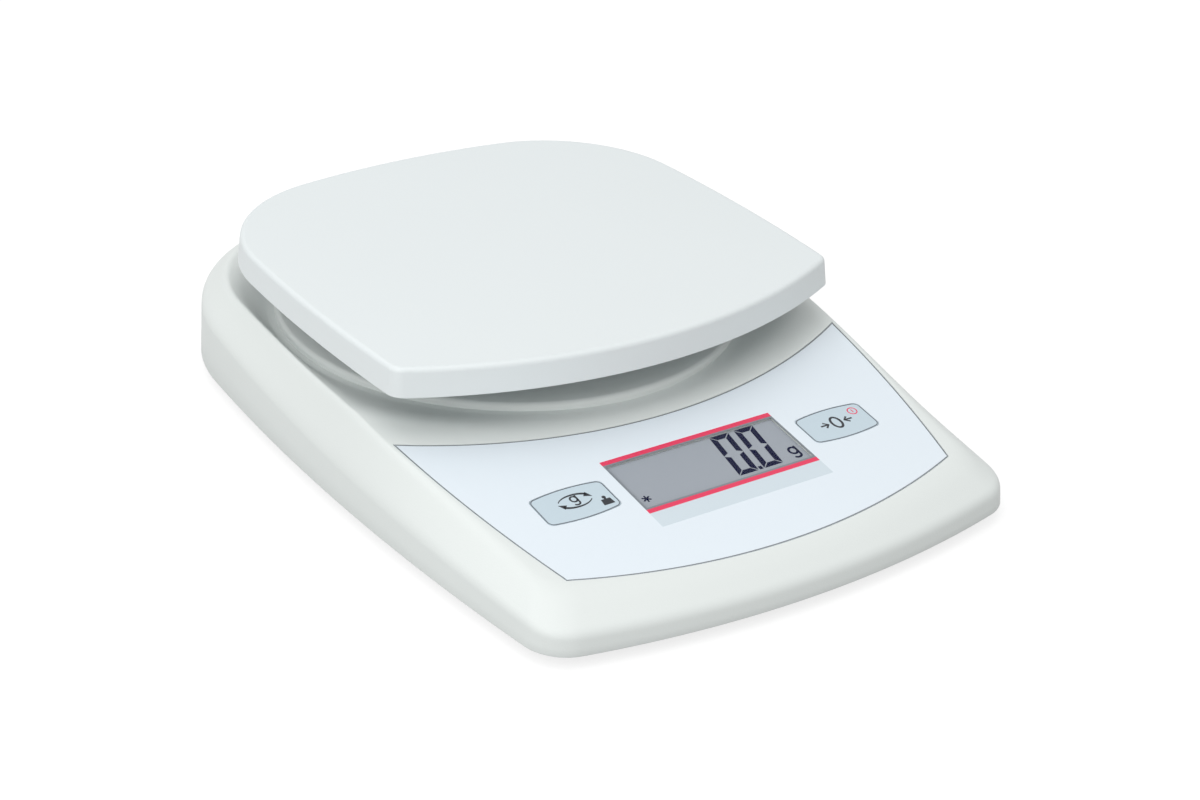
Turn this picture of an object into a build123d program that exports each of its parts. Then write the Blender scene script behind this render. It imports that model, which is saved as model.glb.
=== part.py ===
"""Compact balance: lift-off pan over a battery-powered strain-gauge weighing housing.

Millimetres. +X is the user's right, +Y the back, +Z up. The origin lies on the table under the
middle of the housing.
"""
from build123d import *
from math import cos, radians, sin, tan
import os

os.makedirs("parts", exist_ok=True)

# Fits and walls
slip = 0.15
play = 0.3
wall = 2.2
rib = 1.5

# Housing outline at its bottom edge: half widths, and the bow of each side
body_length = 205.5
body_waist = 72.0
body_waist_y = -3.9
body_front_half = 65.9
body_back_half = 65.5
body_front_bow = 8.5
body_back_bow = 13.4
body_front_corner = 11.3
body_back_corner = 50.6

# Housing heights above the table
foot_stand = 3.0
rim_level = 25.0
plateau_level = 23.0
valley_level = 21.2
skirt_front = 4.9
skirt_rise = 0.058
skirt_draft = 0.6

# Shoulder outline where it would meet the rim's level
rim_waist = 66.3
rim_waist_y = -4.0
rim_front_half = 47.5
rim_front_y = -67.0
rim_front_bow = 5.0
rim_back_half = 59.0
rim_back_inset = 7.0
rim_back_bow = 12.8
rim_front_corner = 8.0
rim_back_corner = 45.0

# Round plateau and the valley around it
plateau_y = 26.4
plateau_radius = 59.5
plateau_side_wall = 1.6
plateau_edge = 1.3
valley_floor_width = 1.6
valley_cove = 3.9

# Control panel: a plane that rises to the back, with its origin at the middle of the display
panel_y = -61.6
panel_level = 17.1
panel_slope = 8.53
overlay_thickness = 0.4
overlay_recess = 0.45
film_gap = 0.12
overlay_back_half = 64.3
overlay_back = 35.7
overlay_back_sag = 15.6
overlay_front_half = 54.4
overlay_front = 22.1
overlay_front_bow = 9.5
overlay_side_bow = 1.2

# Display
display_width = 48.8
display_height = 17.7
display_ledge = 0.4
display_skin = 1.0
glass_width = 54.0
glass_height = 22.0
glass_thickness = 2.0
frame_border = 3.0
frame_lip = 1.0
strip_width = 2.0
strip_inset = 2.0

# Keys
key_x = 37.7
key_width = 19.6
key_height = 9.6
key_bow = 0.9
key_corner = 1.5
key_thickness = 0.35
key_travel = 0.4
key_stem_width = 6.4
key_stem_height = 4.4

# Main board, counted down from the panel's face
board_depth = 6.3
board_width = 100.0
board_height = 44.0
board_offset = 3.0
board_thickness = 1.6
board_post_radius = 3.0
board_post_inset = 5.0
switch_side = 6.0
switch_height = 3.3
plunger_radius = 1.6
plunger_height = 0.5
chip_thickness = 1.2
processor_side = 12.0
converter_width = 5.0
converter_length = 8.0
converter_x = 18.0
crystal_x = -15.0
crystal_length = 8.0
crystal_width = 3.6
crystal_height = 1.6
chip_row = 6.0

# Weighing pan
pan_y = 21.5
pan_top = 40.1
pan_skirt = 6.95
pan_flare = 0.74
pan_wall = 2.2
pan_half_front = 62.5
pan_half_back = 59.9
pan_waist = 63.9
pan_waist_y = 12.4
pan_length = 122.1
pan_front_bow = 15.6
pan_back_bow = 9.3
pan_front_corner = 4.0
pan_back_corner = 38.3
pan_edge = 1.2
peg_reach = 40.0
peg_radius = 2.0
peg_length = 3.6
pan_rib_height = 0.9
pan_rib_bite = 0.3
pan_rib_radii = (25.0, 52.0)

# Load cell and the parts above it
cell_length = 70.0
cell_width = 12.0
cell_height = 8.0
cell_seat = 1.5
lower_spacer_height = 1.0
upper_spacer_height = 1.2
spacer_length = 14.0
cell_screw_pitch = 7.0
cell_thread = 5.0
stop_boss_height = 1.0
cell_eye_radius = 2.6
cell_eye_pitch = 13.0
cell_slot = 2.4
gauge_length = 7.0
gauge_width = 5.0
gauge_thickness = 0.3
stop_gap = 0.5
carrier_width = 16.0
carrier_thickness = 1.5
carrier_length = 62.0
hub_radius = 7.5
hub_opening = 12.0
collar_height = 1.5
collar_wall = 2.0
drip_radius = 17.0
drip_thickness = 1.5
drip_gap = 2.5
foot_width = 26.0
foot_plate = 1.6
support_screw_reach = 10.0
support_screw_radius = 1.2
arm_width = 9.0
arm_thickness = 3.0
pad_radius = 4.8
pad_thickness = 1.2

# Batteries: three AA cells side by side
battery_radius = 7.25
battery_length = 50.5
battery_pitch = 15.4
battery_first_x = 15.2
battery_y = 26.4
terminal_radius = 2.75
terminal_height = 1.2
contact_room = 3.2
contact_thickness = 0.5
spring_wire = 0.35
spring_radius = 3.4
spring_turns = 4
door_thickness = 1.2
door_tab_width = 4.0
door_tab_reach = 1.6
bay_wall = 0.8
battery_play = 0.3
door_lap = 1.2
door_tab_thickness = 0.6
door_skin = 0.4
door_grip_radius = 7.0
door_grip_depth = 0.5
plate_side = 9.0
spring_cone_angle = 8

# Feet and screws
foot_radius = 6.5
foot_recess = 1.0
front_foot_x = 50.0
front_foot_y = -79.0
back_foot_x = 46.0
back_foot_y = 66.0
screw_radius = 1.5
screw_head_radius = 2.8
screw_head_height = 1.1
screw_grip = 8.0
screw_fit = 0.05
boss_radius = 3.4
board_screw_room = 6.0
front_screw_y = -56.0
side_screw_room = 6.6
side_screw_y = 10.0
back_screw_x = 38.0
back_screw_y = 80.0

# Transport lock
lock_x = -24.0
lock_y = 12.0
lock_radius = 9.3
lock_thickness = 1.7
lock_shaft_radius = 3.95
lock_running = 0.05
lock_wing_length = 12.5
lock_wing_width = 5.0
lock_wing_height = 1.5
lock_clearance = 0.5
lock_tab_length = 10.0
clip_thickness = 0.6
clip_radius = 6.2
coin_slot_width = 1.6
coin_slot_depth = 0.8
coin_slot_margin = 2.0
lock_groove_depth = 0.6

# Power inlet
inlet_x = -22.0
inlet_level = 11.5
inlet_face_y = 100.0
inlet_pocket_radius = 6.0
inlet_pad = 13.0
inlet_pad_depth = 3.1
inlet_nose_radius = 4.0
inlet_bore_radius = 2.75
inlet_bore_depth = 9.0
inlet_pin_radius = 1.05
inlet_width = 9.0
inlet_height = 10.0
inlet_length = 11.0

# Leads
lead_radius = 0.7
socket_width = 6.0
socket_height = 4.5
socket_depth = 3.2
socket_inset = 3.0
socket_xs = {"dc": -30.0, "cell": 8.0, "battery": 22.0}
lead_gap = 0.3
lead_straight = 6.0
lead_max_bend = 60.0
cell_lead_step = (1.0, -8.0, 4.0)
battery_lead_step = (1.0, -10.0, -1.0)
battery_lead_turn = (19.2, -22.0, 13.0)
inlet_lead_turns = [
    (-24.0, 76.0, 9.5),
    (-32.0, 65.0, 7.5),
    (-39.0, 48.0, 6.8),
    (-41.0, 24.0, 6.6),
    (-41.0, 0.0, 7.0),
    (-38.0, -17.0, 9.5),
]

# Derived places
floor_top = foot_stand + wall
body_front_y = -body_length / 2 + body_front_bow
body_back_y = body_length / 2 - body_back_bow
rim_back_y = body_length / 2 - rim_back_inset - rim_back_bow
panel = Plane(
    origin=(0, panel_y, panel_level),
    x_dir=(1, 0, 0),
    z_dir=(0, -sin(radians(panel_slope)), cos(radians(panel_slope))),
)
crease = Plane(
    origin=(0, -body_length / 2, foot_stand + skirt_front),
    x_dir=(1, 0, 0),
    z_dir=(0, -skirt_rise, 1),
)
crease_shift = body_length / 2
front_foot_place = [(-front_foot_x, front_foot_y), (front_foot_x, front_foot_y)]
back_foot_place = [(-back_foot_x, back_foot_y), (back_foot_x, back_foot_y)]
foot_places = front_foot_place + back_foot_place
board_post_x = board_width / 2 - board_post_inset
board_post_y = board_height / 2 - board_post_inset
pan_front_y = pan_y - pan_length / 2 + pan_front_bow
pan_back_y = pan_y + pan_length / 2 - pan_back_bow
cell_bottom = floor_top + cell_seat + lower_spacer_height
cell_top = cell_bottom + cell_height
carrier_bottom = cell_top + upper_spacer_height
carrier_top = carrier_bottom + carrier_thickness
cell_front_y = pan_y - cell_length / 2
cell_back_y = pan_y + cell_length / 2
cell_fixed_y = cell_front_y + spacer_length / 2
cell_free_y = cell_back_y - spacer_length / 2
pan_underside = pan_top - pan_wall
arm_top = pan_underside - pad_thickness
arm_bottom = arm_top - arm_thickness
battery_axis_z = foot_stand + door_thickness + slip + battery_radius
battery_xs = [battery_first_x + battery_pitch * i for i in range(3)]
bay_half_length = battery_length / 2 + contact_room
bay_left = battery_xs[0] - battery_pitch / 2
bay_right = battery_xs[2] + battery_pitch / 2
bay_middle_x = (bay_left + bay_right) / 2
front_screw_x = board_width / 2 + board_screw_room
side_screw_x = bay_right + door_lap + side_screw_room
half_screw_places = [
    (front_screw_x, front_screw_y),
    (side_screw_x, side_screw_y),
    (back_screw_x, back_screw_y),
]
housing_screw_places = [(side * x, y) for x, y in half_screw_places for side in (-1, 1)]
bay_front_y = battery_y - bay_half_length
bay_back_y = battery_y + bay_half_length
board_top = panel.offset(-board_depth)
board_under = panel.offset(-board_depth - board_thickness)
arm_directions = (45, 135, 225, 315)
peg_places = [
    (peg_reach * cos(radians(a)), pan_y + peg_reach * sin(radians(a))) for a in arm_directions
]
drip_bottom = plateau_level + collar_height + drip_gap
hub_screw_places = [(0, pan_y - support_screw_reach), (0, pan_y + support_screw_reach)]
display_recess = overlay_recess + display_skin
key_top = overlay_recess - overlay_thickness
key_pocket = overlay_recess + key_thickness + key_travel - slip
stem_end = board_depth - switch_height - plunger_height - key_travel - screw_fit
glass_top = display_recess + screw_fit
glass_bottom = glass_top + glass_thickness
frame_top = wall + screw_fit
socket_y = board_offset + board_height / 2 - socket_inset
shank_hole = screw_radius + slip
head_hole = screw_head_radius + slip
well_radius = lock_radius + play
well_floor = foot_stand + lock_thickness + 2 * slip
groove_radius = lock_shaft_radius - lock_groove_depth
door_width = bay_right - bay_left + 2 * door_lap
door_length = 2 * bay_half_length + 2 * door_lap
door_front_y = bay_front_y - door_lap
door_tab_xs = [(battery_xs[i] + battery_xs[i + 1]) / 2 for i in range(2)]
spring_room = 2 * bay_half_length - battery_length - 2 * contact_thickness
inlet_front = inlet_face_y - inlet_pad_depth - screw_fit
inlet_back = inlet_front - inlet_length


def draw_outline(waist, waist_y, front, front_y, front_bow, back, back_y, back_bow):
    """Four bowed sides, as a face in the sketch that is open."""
    with BuildLine() as line:
        ThreePointArc((-front, front_y), (0, front_y - front_bow), (front, front_y))
        TangentArc((waist, waist_y), (front, front_y), tangent=(0, -1))
        TangentArc((waist, waist_y), (back, back_y), tangent=(0, 1))
        ThreePointArc((back, back_y), (0, back_y + back_bow), (-back, back_y))
        TangentArc((-waist, waist_y), (-back, back_y), tangent=(0, 1))
        TangentArc((-waist, waist_y), (-front, front_y), tangent=(0, -1))
    make_face(line.edges())


def round_corners(front_corner, back_corner, inset):
    """Round the open sketch's four corners, then draw its outline further in (or out)."""
    fillet(vertices().group_by(Axis.Y)[0], radius=front_corner)
    fillet(vertices().group_by(Axis.Y)[-1], radius=back_corner)
    if inset != 0:
        offset(amount=-inset, kind=Kind.INTERSECTION)


def draw_body(inset, shift=0):
    """The housing's bottom outline."""
    waist_y = body_waist_y + shift
    front_y = body_front_y + shift
    back_y = body_back_y + shift
    front = (body_front_half, front_y, body_front_bow)
    back = (body_back_half, back_y, body_back_bow)
    draw_outline(body_waist, waist_y, *front, *back)
    round_corners(body_front_corner, body_back_corner, inset)


def draw_rim(inset):
    """The shoulder's outline where it would reach the rim's level."""
    front = (rim_front_half, rim_front_y, rim_front_bow)
    back = (rim_back_half, rim_back_y, rim_back_bow)
    draw_outline(rim_waist, rim_waist_y, *front, *back)
    round_corners(rim_front_corner, rim_back_corner, inset)


def draw_pan(grow):
    """The pan's outline at its top, drawn larger or smaller all round."""
    front_half = pan_half_front + grow
    back_half = pan_half_back + grow
    front = (front_half, pan_front_y - grow, pan_front_bow * front_half / pan_half_front)
    back = (back_half, pan_back_y + grow, pan_back_bow * back_half / pan_half_back)
    draw_outline(pan_waist + grow, pan_waist_y, *front, *back)
    round_corners(pan_front_corner + grow, pan_back_corner + grow, 0)


def draw_overlay(inset):
    """The control panel film's outline, in the panel's own plane."""
    side_x = (overlay_back_half + overlay_front_half) / 2 + overlay_side_bow
    side_y = (overlay_back - overlay_front) / 2
    with BuildLine() as line:
        left_back = (-overlay_back_half, overlay_back)
        right_back = (overlay_back_half, overlay_back)
        left_front = (-overlay_front_half, -overlay_front)
        right_front = (overlay_front_half, -overlay_front)
        ThreePointArc(left_back, (0, overlay_back - overlay_back_sag), right_back)
        ThreePointArc(right_back, (side_x, side_y), right_front)
        ThreePointArc(right_front, (0, -overlay_front - overlay_front_bow), left_front)
        ThreePointArc(left_front, (-side_x, side_y), left_back)
    make_face(line.edges())
    if inset != 0:
        offset(amount=-inset, kind=Kind.INTERSECTION)


def draw_key(x, inset):
    """A key's outline: upright ends, bowed long edges, rounded corners."""
    half_width = key_width / 2
    half_height = key_height / 2
    with BuildLine() as line:
        left = x - half_width
        right = x + half_width
        ThreePointArc((left, half_height), (x, half_height + key_bow), (right, half_height))
        Line((right, half_height), (right, -half_height))
        ThreePointArc((right, -half_height), (x, -half_height - key_bow), (left, -half_height))
        Line((left, -half_height), (left, half_height))
    with BuildSketch() as key:
        make_face(line.edges())
        fillet(key.vertices(), radius=key_corner)
        if inset != 0:
            offset(amount=-inset, kind=Kind.INTERSECTION)
    return key.sketch


def body_solid(inset, lowered, disc_radius, disc_top, valley):
    """The housing's outer form, or its cavity when drawn inset and lowered."""
    with BuildPart() as solid:
        with BuildSketch(Plane.XY.offset(foot_stand)):
            draw_body(inset)
        with BuildSketch(crease):
            draw_body(inset + skirt_draft, crease_shift)
        with BuildSketch(Plane.XY.offset(rim_level)):
            draw_rim(inset)
        loft(ruled=True)
        with BuildSketch(panel.offset(-lowered)):
            Rectangle(2 * body_length, 2 * body_length)
        extrude(amount=body_length, mode=Mode.SUBTRACT)
        add(valley, mode=Mode.SUBTRACT)
        with BuildSketch(Plane.XY.offset(valley_level - lowered - wall)):
            with Locations((0, plateau_y)):
                Circle(disc_radius)
        extrude(until=None, amount=disc_top - valley_level + lowered + wall)
    return solid.part


# Everything above the valley's floor, out to its cove
with BuildPart() as valley_cut:
    cove_start = plateau_radius + valley_floor_width
    cove_top = rim_level + slip
    cove_end = cove_start + valley_cove
    with BuildSketch(Plane.XZ.offset(-plateau_y)):
        with BuildLine():
            Line((0, valley_level), (cove_start, valley_level))
            TangentArc((cove_start, valley_level), (cove_end, cove_top), tangent=(1, 0))
            Polyline((cove_end, cove_top), (0, cove_top), (0, valley_level))
        make_face()
    revolve(axis=Axis((0, plateau_y, 0), (0, 0, 1)))

# Everything above the cavity's flat ceiling
with BuildPart() as ceiling_cut:
    with BuildSketch(Plane.XY.offset(valley_level - wall)):
        Rectangle(2 * body_length, 2 * body_length)
    extrude(amount=body_length)

body_form = body_solid(0, 0, plateau_radius, plateau_level, valley_cut.part)
cavity_form = body_solid(
    wall,
    wall,
    plateau_radius - plateau_side_wall,
    plateau_level - wall,
    ceiling_cut.part,
)

# Battery bay's outside, with room around it for the top housing
with BuildPart() as bay_room:
    bay_shell = battery_play + bay_wall + battery_play
    bay_face = Plane.XZ.offset(-bay_front_y + bay_wall + battery_play)
    bay_reach = 2 * bay_half_length + 2 * bay_wall + 2 * battery_play
    with BuildSketch(bay_face):
        with Locations(*[(x, battery_axis_z) for x in battery_xs]):
            Circle(battery_radius + bay_shell)
    extrude(amount=-bay_reach)

with BuildPart() as posts:
    with BuildSketch(Plane.XY.offset(floor_top)):
        with Locations(*housing_screw_places):
            Circle(boss_radius)
    extrude(amount=rim_level - floor_top)
    with BuildSketch(board_top):
        with Locations((0, board_offset)):
            with GridLocations(2 * board_post_x, 2 * board_post_y, 2, 2):
                Circle(board_post_radius)
    extrude(amount=board_depth - overlay_recess)
    with BuildSketch(Plane.XZ.offset(-inlet_face_y + inlet_pad_depth)):
        with Locations((inlet_x, inlet_level)):
            Rectangle(inlet_pad, inlet_pad - 1)
    extrude(amount=-inlet_pad_depth - wall)
    add(body_form, mode=Mode.INTERSECT)

with BuildPart() as top_housing:
    add(body_form)
    add(cavity_form, mode=Mode.SUBTRACT)
    with BuildSketch(Plane.XY.offset(foot_stand)):
        draw_body(wall)
    extrude(amount=wall, mode=Mode.SUBTRACT)
    add(posts.part)
    add(bay_room.part, mode=Mode.SUBTRACT)
    # opening for the pan support, with a raised collar against spills
    with BuildSketch(Plane.XY.offset(plateau_level - wall / 2)):
        with Locations((0, pan_y)):
            Circle(hub_opening + collar_wall)
    extrude(amount=collar_height + wall / 2)
    with BuildSketch(Plane.XY.offset(plateau_level - wall)):
        with Locations((0, pan_y)):
            Circle(hub_opening)
    extrude(amount=wall + collar_height, mode=Mode.SUBTRACT)
    # film recess, display opening and key pockets in the panel
    with BuildSketch(panel.offset(-overlay_recess)):
        draw_overlay(0)
    extrude(amount=rim_level, mode=Mode.SUBTRACT)
    with BuildSketch(panel):
        Rectangle(display_width - 2 * display_ledge, display_height - 2 * display_ledge)
    extrude(amount=-2 * wall, mode=Mode.SUBTRACT)
    with BuildSketch(panel.offset(-display_recess)):
        Rectangle(glass_width + 2 * play, glass_height + 2 * play)
    extrude(amount=-wall, mode=Mode.SUBTRACT)
    with BuildSketch(panel.offset(-key_pocket)):
        add(draw_key(-key_x, 0))
        add(draw_key(key_x, 0))
    extrude(amount=key_pocket, mode=Mode.SUBTRACT)
    with BuildSketch(panel):
        with Locations((-key_x, 0), (key_x, 0)):
            Rectangle(key_stem_width + 2 * play, key_stem_height + 2 * play)
    extrude(amount=-2 * wall, mode=Mode.SUBTRACT)
    # pilot holes for the housing screws and the board screws
    with BuildSketch(Plane.XY.offset(floor_top)):
        with Locations(*housing_screw_places):
            Circle(screw_radius + screw_fit)
    extrude(amount=screw_grip, mode=Mode.SUBTRACT)
    with BuildSketch(board_top):
        with Locations((0, board_offset)):
            with GridLocations(2 * board_post_x, 2 * board_post_y, 2, 2):
                Circle(support_screw_radius + screw_fit)
    extrude(amount=board_depth - wall, mode=Mode.SUBTRACT)
    # power inlet's face and hole
    with BuildSketch(Plane.XZ.offset(-inlet_face_y)):
        with Locations((inlet_x, inlet_level)):
            Circle(inlet_pocket_radius)
    extrude(amount=-body_length / 4, mode=Mode.SUBTRACT)
    with BuildSketch(Plane.XZ.offset(-inlet_face_y)):
        with Locations((inlet_x, inlet_level)):
            Circle(inlet_nose_radius + slip)
    extrude(amount=2 * inlet_pad_depth, mode=Mode.SUBTRACT)
top_housing.part.label = "top_housing"

# Bottom housing: a plate inside the skirt, with everything that stands on it
with BuildPart() as bay_inside:
    with BuildSketch(Plane.XY.offset(foot_stand)):
        with Locations((bay_middle_x, battery_y)):
            Rectangle(bay_right - bay_left, 2 * bay_half_length)
    extrude(amount=battery_axis_z - foot_stand)
    with BuildSketch(Plane.XZ.offset(-bay_front_y)):
        with Locations(*[(x, battery_axis_z) for x in battery_xs]):
            Circle(battery_radius + battery_play)
    extrude(amount=-2 * bay_half_length)

with BuildPart() as bottom_housing:
    with BuildSketch(Plane.XY.offset(foot_stand)):
        draw_body(wall + slip)
    extrude(amount=wall)
    # battery bay walls and roof
    with BuildSketch(Plane.XY.offset(floor_top)):
        with Locations((bay_middle_x, battery_y)):
            bay_width = bay_right - bay_left + 2 * bay_wall
            Rectangle(bay_width, 2 * bay_half_length + 2 * bay_wall)
    extrude(amount=battery_axis_z - floor_top)
    with BuildSketch(Plane.XZ.offset(-bay_front_y + bay_wall)):
        with Locations(*[(x, battery_axis_z) for x in battery_xs]):
            Circle(battery_radius + battery_play + bay_wall)
    extrude(amount=-2 * bay_half_length - 2 * bay_wall)
    add(bay_inside.part, mode=Mode.SUBTRACT)
    # seat for the door, and a notch for each of its tabs
    with BuildSketch(Plane.XY.offset(foot_stand)):
        with Locations((bay_middle_x, battery_y)):
            Rectangle(door_width, door_length)
    extrude(amount=door_thickness, mode=Mode.SUBTRACT)
    with BuildSketch(Plane.XY.offset(foot_stand + door_skin)):
        with Locations(*[(x, door_front_y) for x in door_tab_xs]):
            Rectangle(door_tab_width + 2 * play, 2 * (door_tab_reach + 2 * play))
    extrude(amount=wall, mode=Mode.SUBTRACT)
    # load-cell seat and the boss of the overload stop
    with BuildSketch(Plane.XY.offset(floor_top)):
        with Locations((0, cell_fixed_y)):
            Rectangle(cell_width, spacer_length)
    extrude(amount=cell_seat)
    with BuildSketch(Plane.XY.offset(floor_top)):
        with Locations((0, cell_free_y)):
            Circle(boss_radius)
    extrude(amount=stop_boss_height)
    # well for the transport lock
    with BuildSketch(Plane.XY.offset(foot_stand)):
        with Locations((lock_x, lock_y)):
            Circle(well_radius + rib)
    extrude(amount=well_floor + wall - foot_stand)
    with BuildSketch(Plane.XY.offset(foot_stand)):
        with Locations((lock_x, lock_y)):
            Circle(well_radius)
    extrude(amount=well_floor - foot_stand, mode=Mode.SUBTRACT)
    with BuildSketch(Plane.XY.offset(foot_stand)):
        with Locations((lock_x, lock_y)):
            Circle(lock_shaft_radius + lock_running)
    extrude(amount=well_floor + wall - foot_stand, mode=Mode.SUBTRACT)
    # cradle under the power inlet
    with BuildSketch(Plane.XY.offset(floor_top)):
        with Locations((inlet_x, inlet_face_y - inlet_pad_depth - inlet_length / 2)):
            Rectangle(inlet_width, inlet_length - 2 * play)
    extrude(amount=inlet_level - inlet_height / 2 - floor_top)
    # foot recesses and screw holes
    with BuildSketch(Plane.XY.offset(foot_stand)):
        with Locations(*foot_places):
            Circle(foot_radius + slip)
    extrude(amount=foot_recess, mode=Mode.SUBTRACT)
    with BuildSketch(Plane.XY.offset(foot_stand)):
        with Locations(*housing_screw_places):
            Circle(head_hole)
        with Locations((0, cell_fixed_y)):
            with GridLocations(0, cell_screw_pitch, 1, 2):
                Circle(head_hole)
    extrude(amount=screw_head_height + slip, mode=Mode.SUBTRACT)
    with BuildSketch(Plane.XY.offset(foot_stand)):
        with Locations(*housing_screw_places):
            Circle(shank_hole)
        with Locations((0, cell_fixed_y)):
            with GridLocations(0, cell_screw_pitch, 1, 2):
                Circle(shank_hole)
        with Locations((0, cell_free_y)):
            Circle(screw_radius + screw_fit)
    extrude(amount=wall + cell_seat + stop_boss_height, mode=Mode.SUBTRACT)
bottom_housing.part.label = "bottom_housing"

# Weighing pan: a plate with a short flared skirt, ring ribs and four pegs beneath
with BuildPart() as weighing_pan:
    with BuildSketch(Plane.XY.offset(pan_top - pan_skirt)):
        draw_pan(pan_flare)
    with BuildSketch(Plane.XY.offset(pan_top)):
        draw_pan(0)
    loft(ruled=True)
    fillet(faces().sort_by(Axis.Z)[-1].edges(), radius=pan_edge)
    with BuildSketch(Plane.XY.offset(pan_top - pan_skirt)):
        draw_pan(pan_flare - pan_wall)
    with BuildSketch(Plane.XY.offset(pan_underside)):
        draw_pan(-pan_wall)
    loft(ruled=True, mode=Mode.SUBTRACT)
    for ring in pan_rib_radii:
        with BuildSketch(Plane.XY.offset(pan_underside + pan_rib_bite)):
            with Locations((0, pan_y)):
                Circle(ring + rib / 2)
                Circle(ring - rib / 2, mode=Mode.SUBTRACT)
        extrude(amount=-pan_rib_height - pan_rib_bite)
    with BuildSketch(Plane.XY.offset(pan_underside + pan_rib_bite)):
        with Locations(*peg_places):
            Circle(peg_radius)
    extrude(amount=-peg_length - pan_rib_bite)
weighing_pan.part.label = "weighing_pan"

# Pan support: base, hub, drip disc and four arms
with BuildPart() as pan_support:
    with BuildSketch(Plane.XY.offset(carrier_top)):
        with Locations((0, pan_y)):
            RectangleRounded(carrier_width, foot_width, rib)
    extrude(amount=foot_plate)
    with BuildSketch(Plane.XY.offset(carrier_top)):
        with Locations((0, pan_y)):
            Circle(hub_radius)
    extrude(amount=arm_top - carrier_top)
    with BuildSketch(Plane.XY.offset(drip_bottom)):
        with Locations((0, pan_y)):
            Circle(drip_radius)
    extrude(amount=drip_thickness)
    with BuildSketch(Plane.XY.offset(arm_bottom)):
        with Locations((0, pan_y)):
            for angle in arm_directions[:2]:
                SlotCenterToCenter(2 * peg_reach, arm_width, rotation=angle)
            Circle(hub_radius + rib)
    extrude(amount=arm_thickness)
    with BuildSketch(Plane.XY.offset(arm_bottom)):
        with Locations(*peg_places):
            Circle(peg_radius + play)
    extrude(amount=arm_thickness, mode=Mode.SUBTRACT)
    with BuildSketch(Plane.XY.offset(carrier_top)):
        with Locations(*hub_screw_places):
            Circle(support_screw_radius + screw_fit)
    extrude(amount=foot_plate, mode=Mode.SUBTRACT)
    with BuildSketch(Plane.XY.offset(carrier_top + foot_plate)):
        with Locations(*hub_screw_places):
            Circle(2 * support_screw_radius + slip)
    extrude(amount=-foot_plate / 2, mode=Mode.SUBTRACT)
pan_support.part.label = "pan_support"

with BuildPart() as pan_pads:
    with BuildSketch(Plane.XY.offset(arm_top)):
        with Locations(*peg_places):
            Circle(pad_radius - play)
            Circle(peg_radius + play, mode=Mode.SUBTRACT)
    extrude(amount=pad_thickness)
pan_pads.part.label = "pan_pads"

# Load cell and what is screwed to it
hole_pitch = GridLocations(0, cell_screw_pitch, 1, 2)

with BuildPart() as load_cell:
    with BuildSketch(Plane.XY.offset(cell_bottom)):
        with Locations((0, pan_y)):
            Rectangle(cell_width, cell_length)
    extrude(amount=cell_height)
    with BuildSketch(Plane.YZ.offset(-cell_width / 2)):
        with Locations((pan_y, (cell_bottom + cell_top) / 2)):
            with GridLocations(cell_eye_pitch, 0, 2, 1):
                Circle(cell_eye_radius)
            Rectangle(cell_eye_pitch, cell_slot)
    extrude(amount=cell_width, mode=Mode.SUBTRACT)
    with BuildSketch(Plane.XY.offset(cell_bottom)):
        with Locations((0, cell_fixed_y), (0, cell_free_y)):
            with GridLocations(0, cell_screw_pitch, 1, 2):
                Circle(screw_radius + screw_fit)
    extrude(amount=cell_height, mode=Mode.SUBTRACT)
load_cell.part.label = "load_cell"

with BuildPart() as strain_gauges:
    with BuildSketch(Plane.XY.offset(cell_top)):
        with Locations((0, pan_y)):
            with GridLocations(0, cell_eye_pitch, 1, 2):
                Rectangle(gauge_width, gauge_length)
    extrude(amount=gauge_thickness)
    with BuildSketch(Plane.XY.offset(cell_bottom)):
        with Locations((0, pan_y)):
            with GridLocations(0, cell_eye_pitch, 1, 2):
                Rectangle(gauge_width, gauge_length)
    extrude(amount=-gauge_thickness)
strain_gauges.part.label = "strain_gauges"

with BuildPart() as lower_spacer:
    with BuildSketch(Plane.XY.offset(floor_top + cell_seat)):
        with Locations((0, cell_fixed_y)):
            Rectangle(cell_width, spacer_length)
            with GridLocations(0, cell_screw_pitch, 1, 2):
                Circle(shank_hole, mode=Mode.SUBTRACT)
    extrude(amount=lower_spacer_height)
lower_spacer.part.label = "lower_spacer"

with BuildPart() as upper_spacer:
    with BuildSketch(Plane.XY.offset(cell_top)):
        with Locations((0, cell_free_y)):
            Rectangle(cell_width, spacer_length)
            with GridLocations(0, cell_screw_pitch, 1, 2):
                Circle(shank_hole, mode=Mode.SUBTRACT)
    extrude(amount=upper_spacer_height)
upper_spacer.part.label = "upper_spacer"

with BuildPart() as pan_carrier:
    with BuildSketch(Plane.XY.offset(carrier_bottom)):
        with Locations((0, cell_back_y - carrier_length / 2)):
            Rectangle(carrier_width, carrier_length)
        with Locations((-carrier_width / 2, lock_y)):
            Rectangle(2 * lock_tab_length, lock_wing_width + 2)
        with Locations((0, cell_free_y)):
            with GridLocations(0, cell_screw_pitch, 1, 2):
                Circle(shank_hole, mode=Mode.SUBTRACT)
        with Locations(*hub_screw_places):
            Circle(support_screw_radius + screw_fit, mode=Mode.SUBTRACT)
    extrude(amount=carrier_thickness)
pan_carrier.part.label = "pan_carrier"

with BuildPart() as load_cell_screws:
    with BuildSketch(Plane.XY.offset(foot_stand + slip)):
        with Locations((0, cell_fixed_y)):
            with GridLocations(0, cell_screw_pitch, 1, 2):
                Circle(screw_head_radius)
    extrude(amount=screw_head_height)
    with BuildSketch(Plane.XY.offset(foot_stand + slip)):
        with Locations((0, cell_fixed_y)):
            with GridLocations(0, cell_screw_pitch, 1, 2):
                Circle(screw_radius)
    extrude(amount=cell_bottom + cell_thread - foot_stand - slip)
load_cell_screws.part.label = "load_cell_screws"

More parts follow.
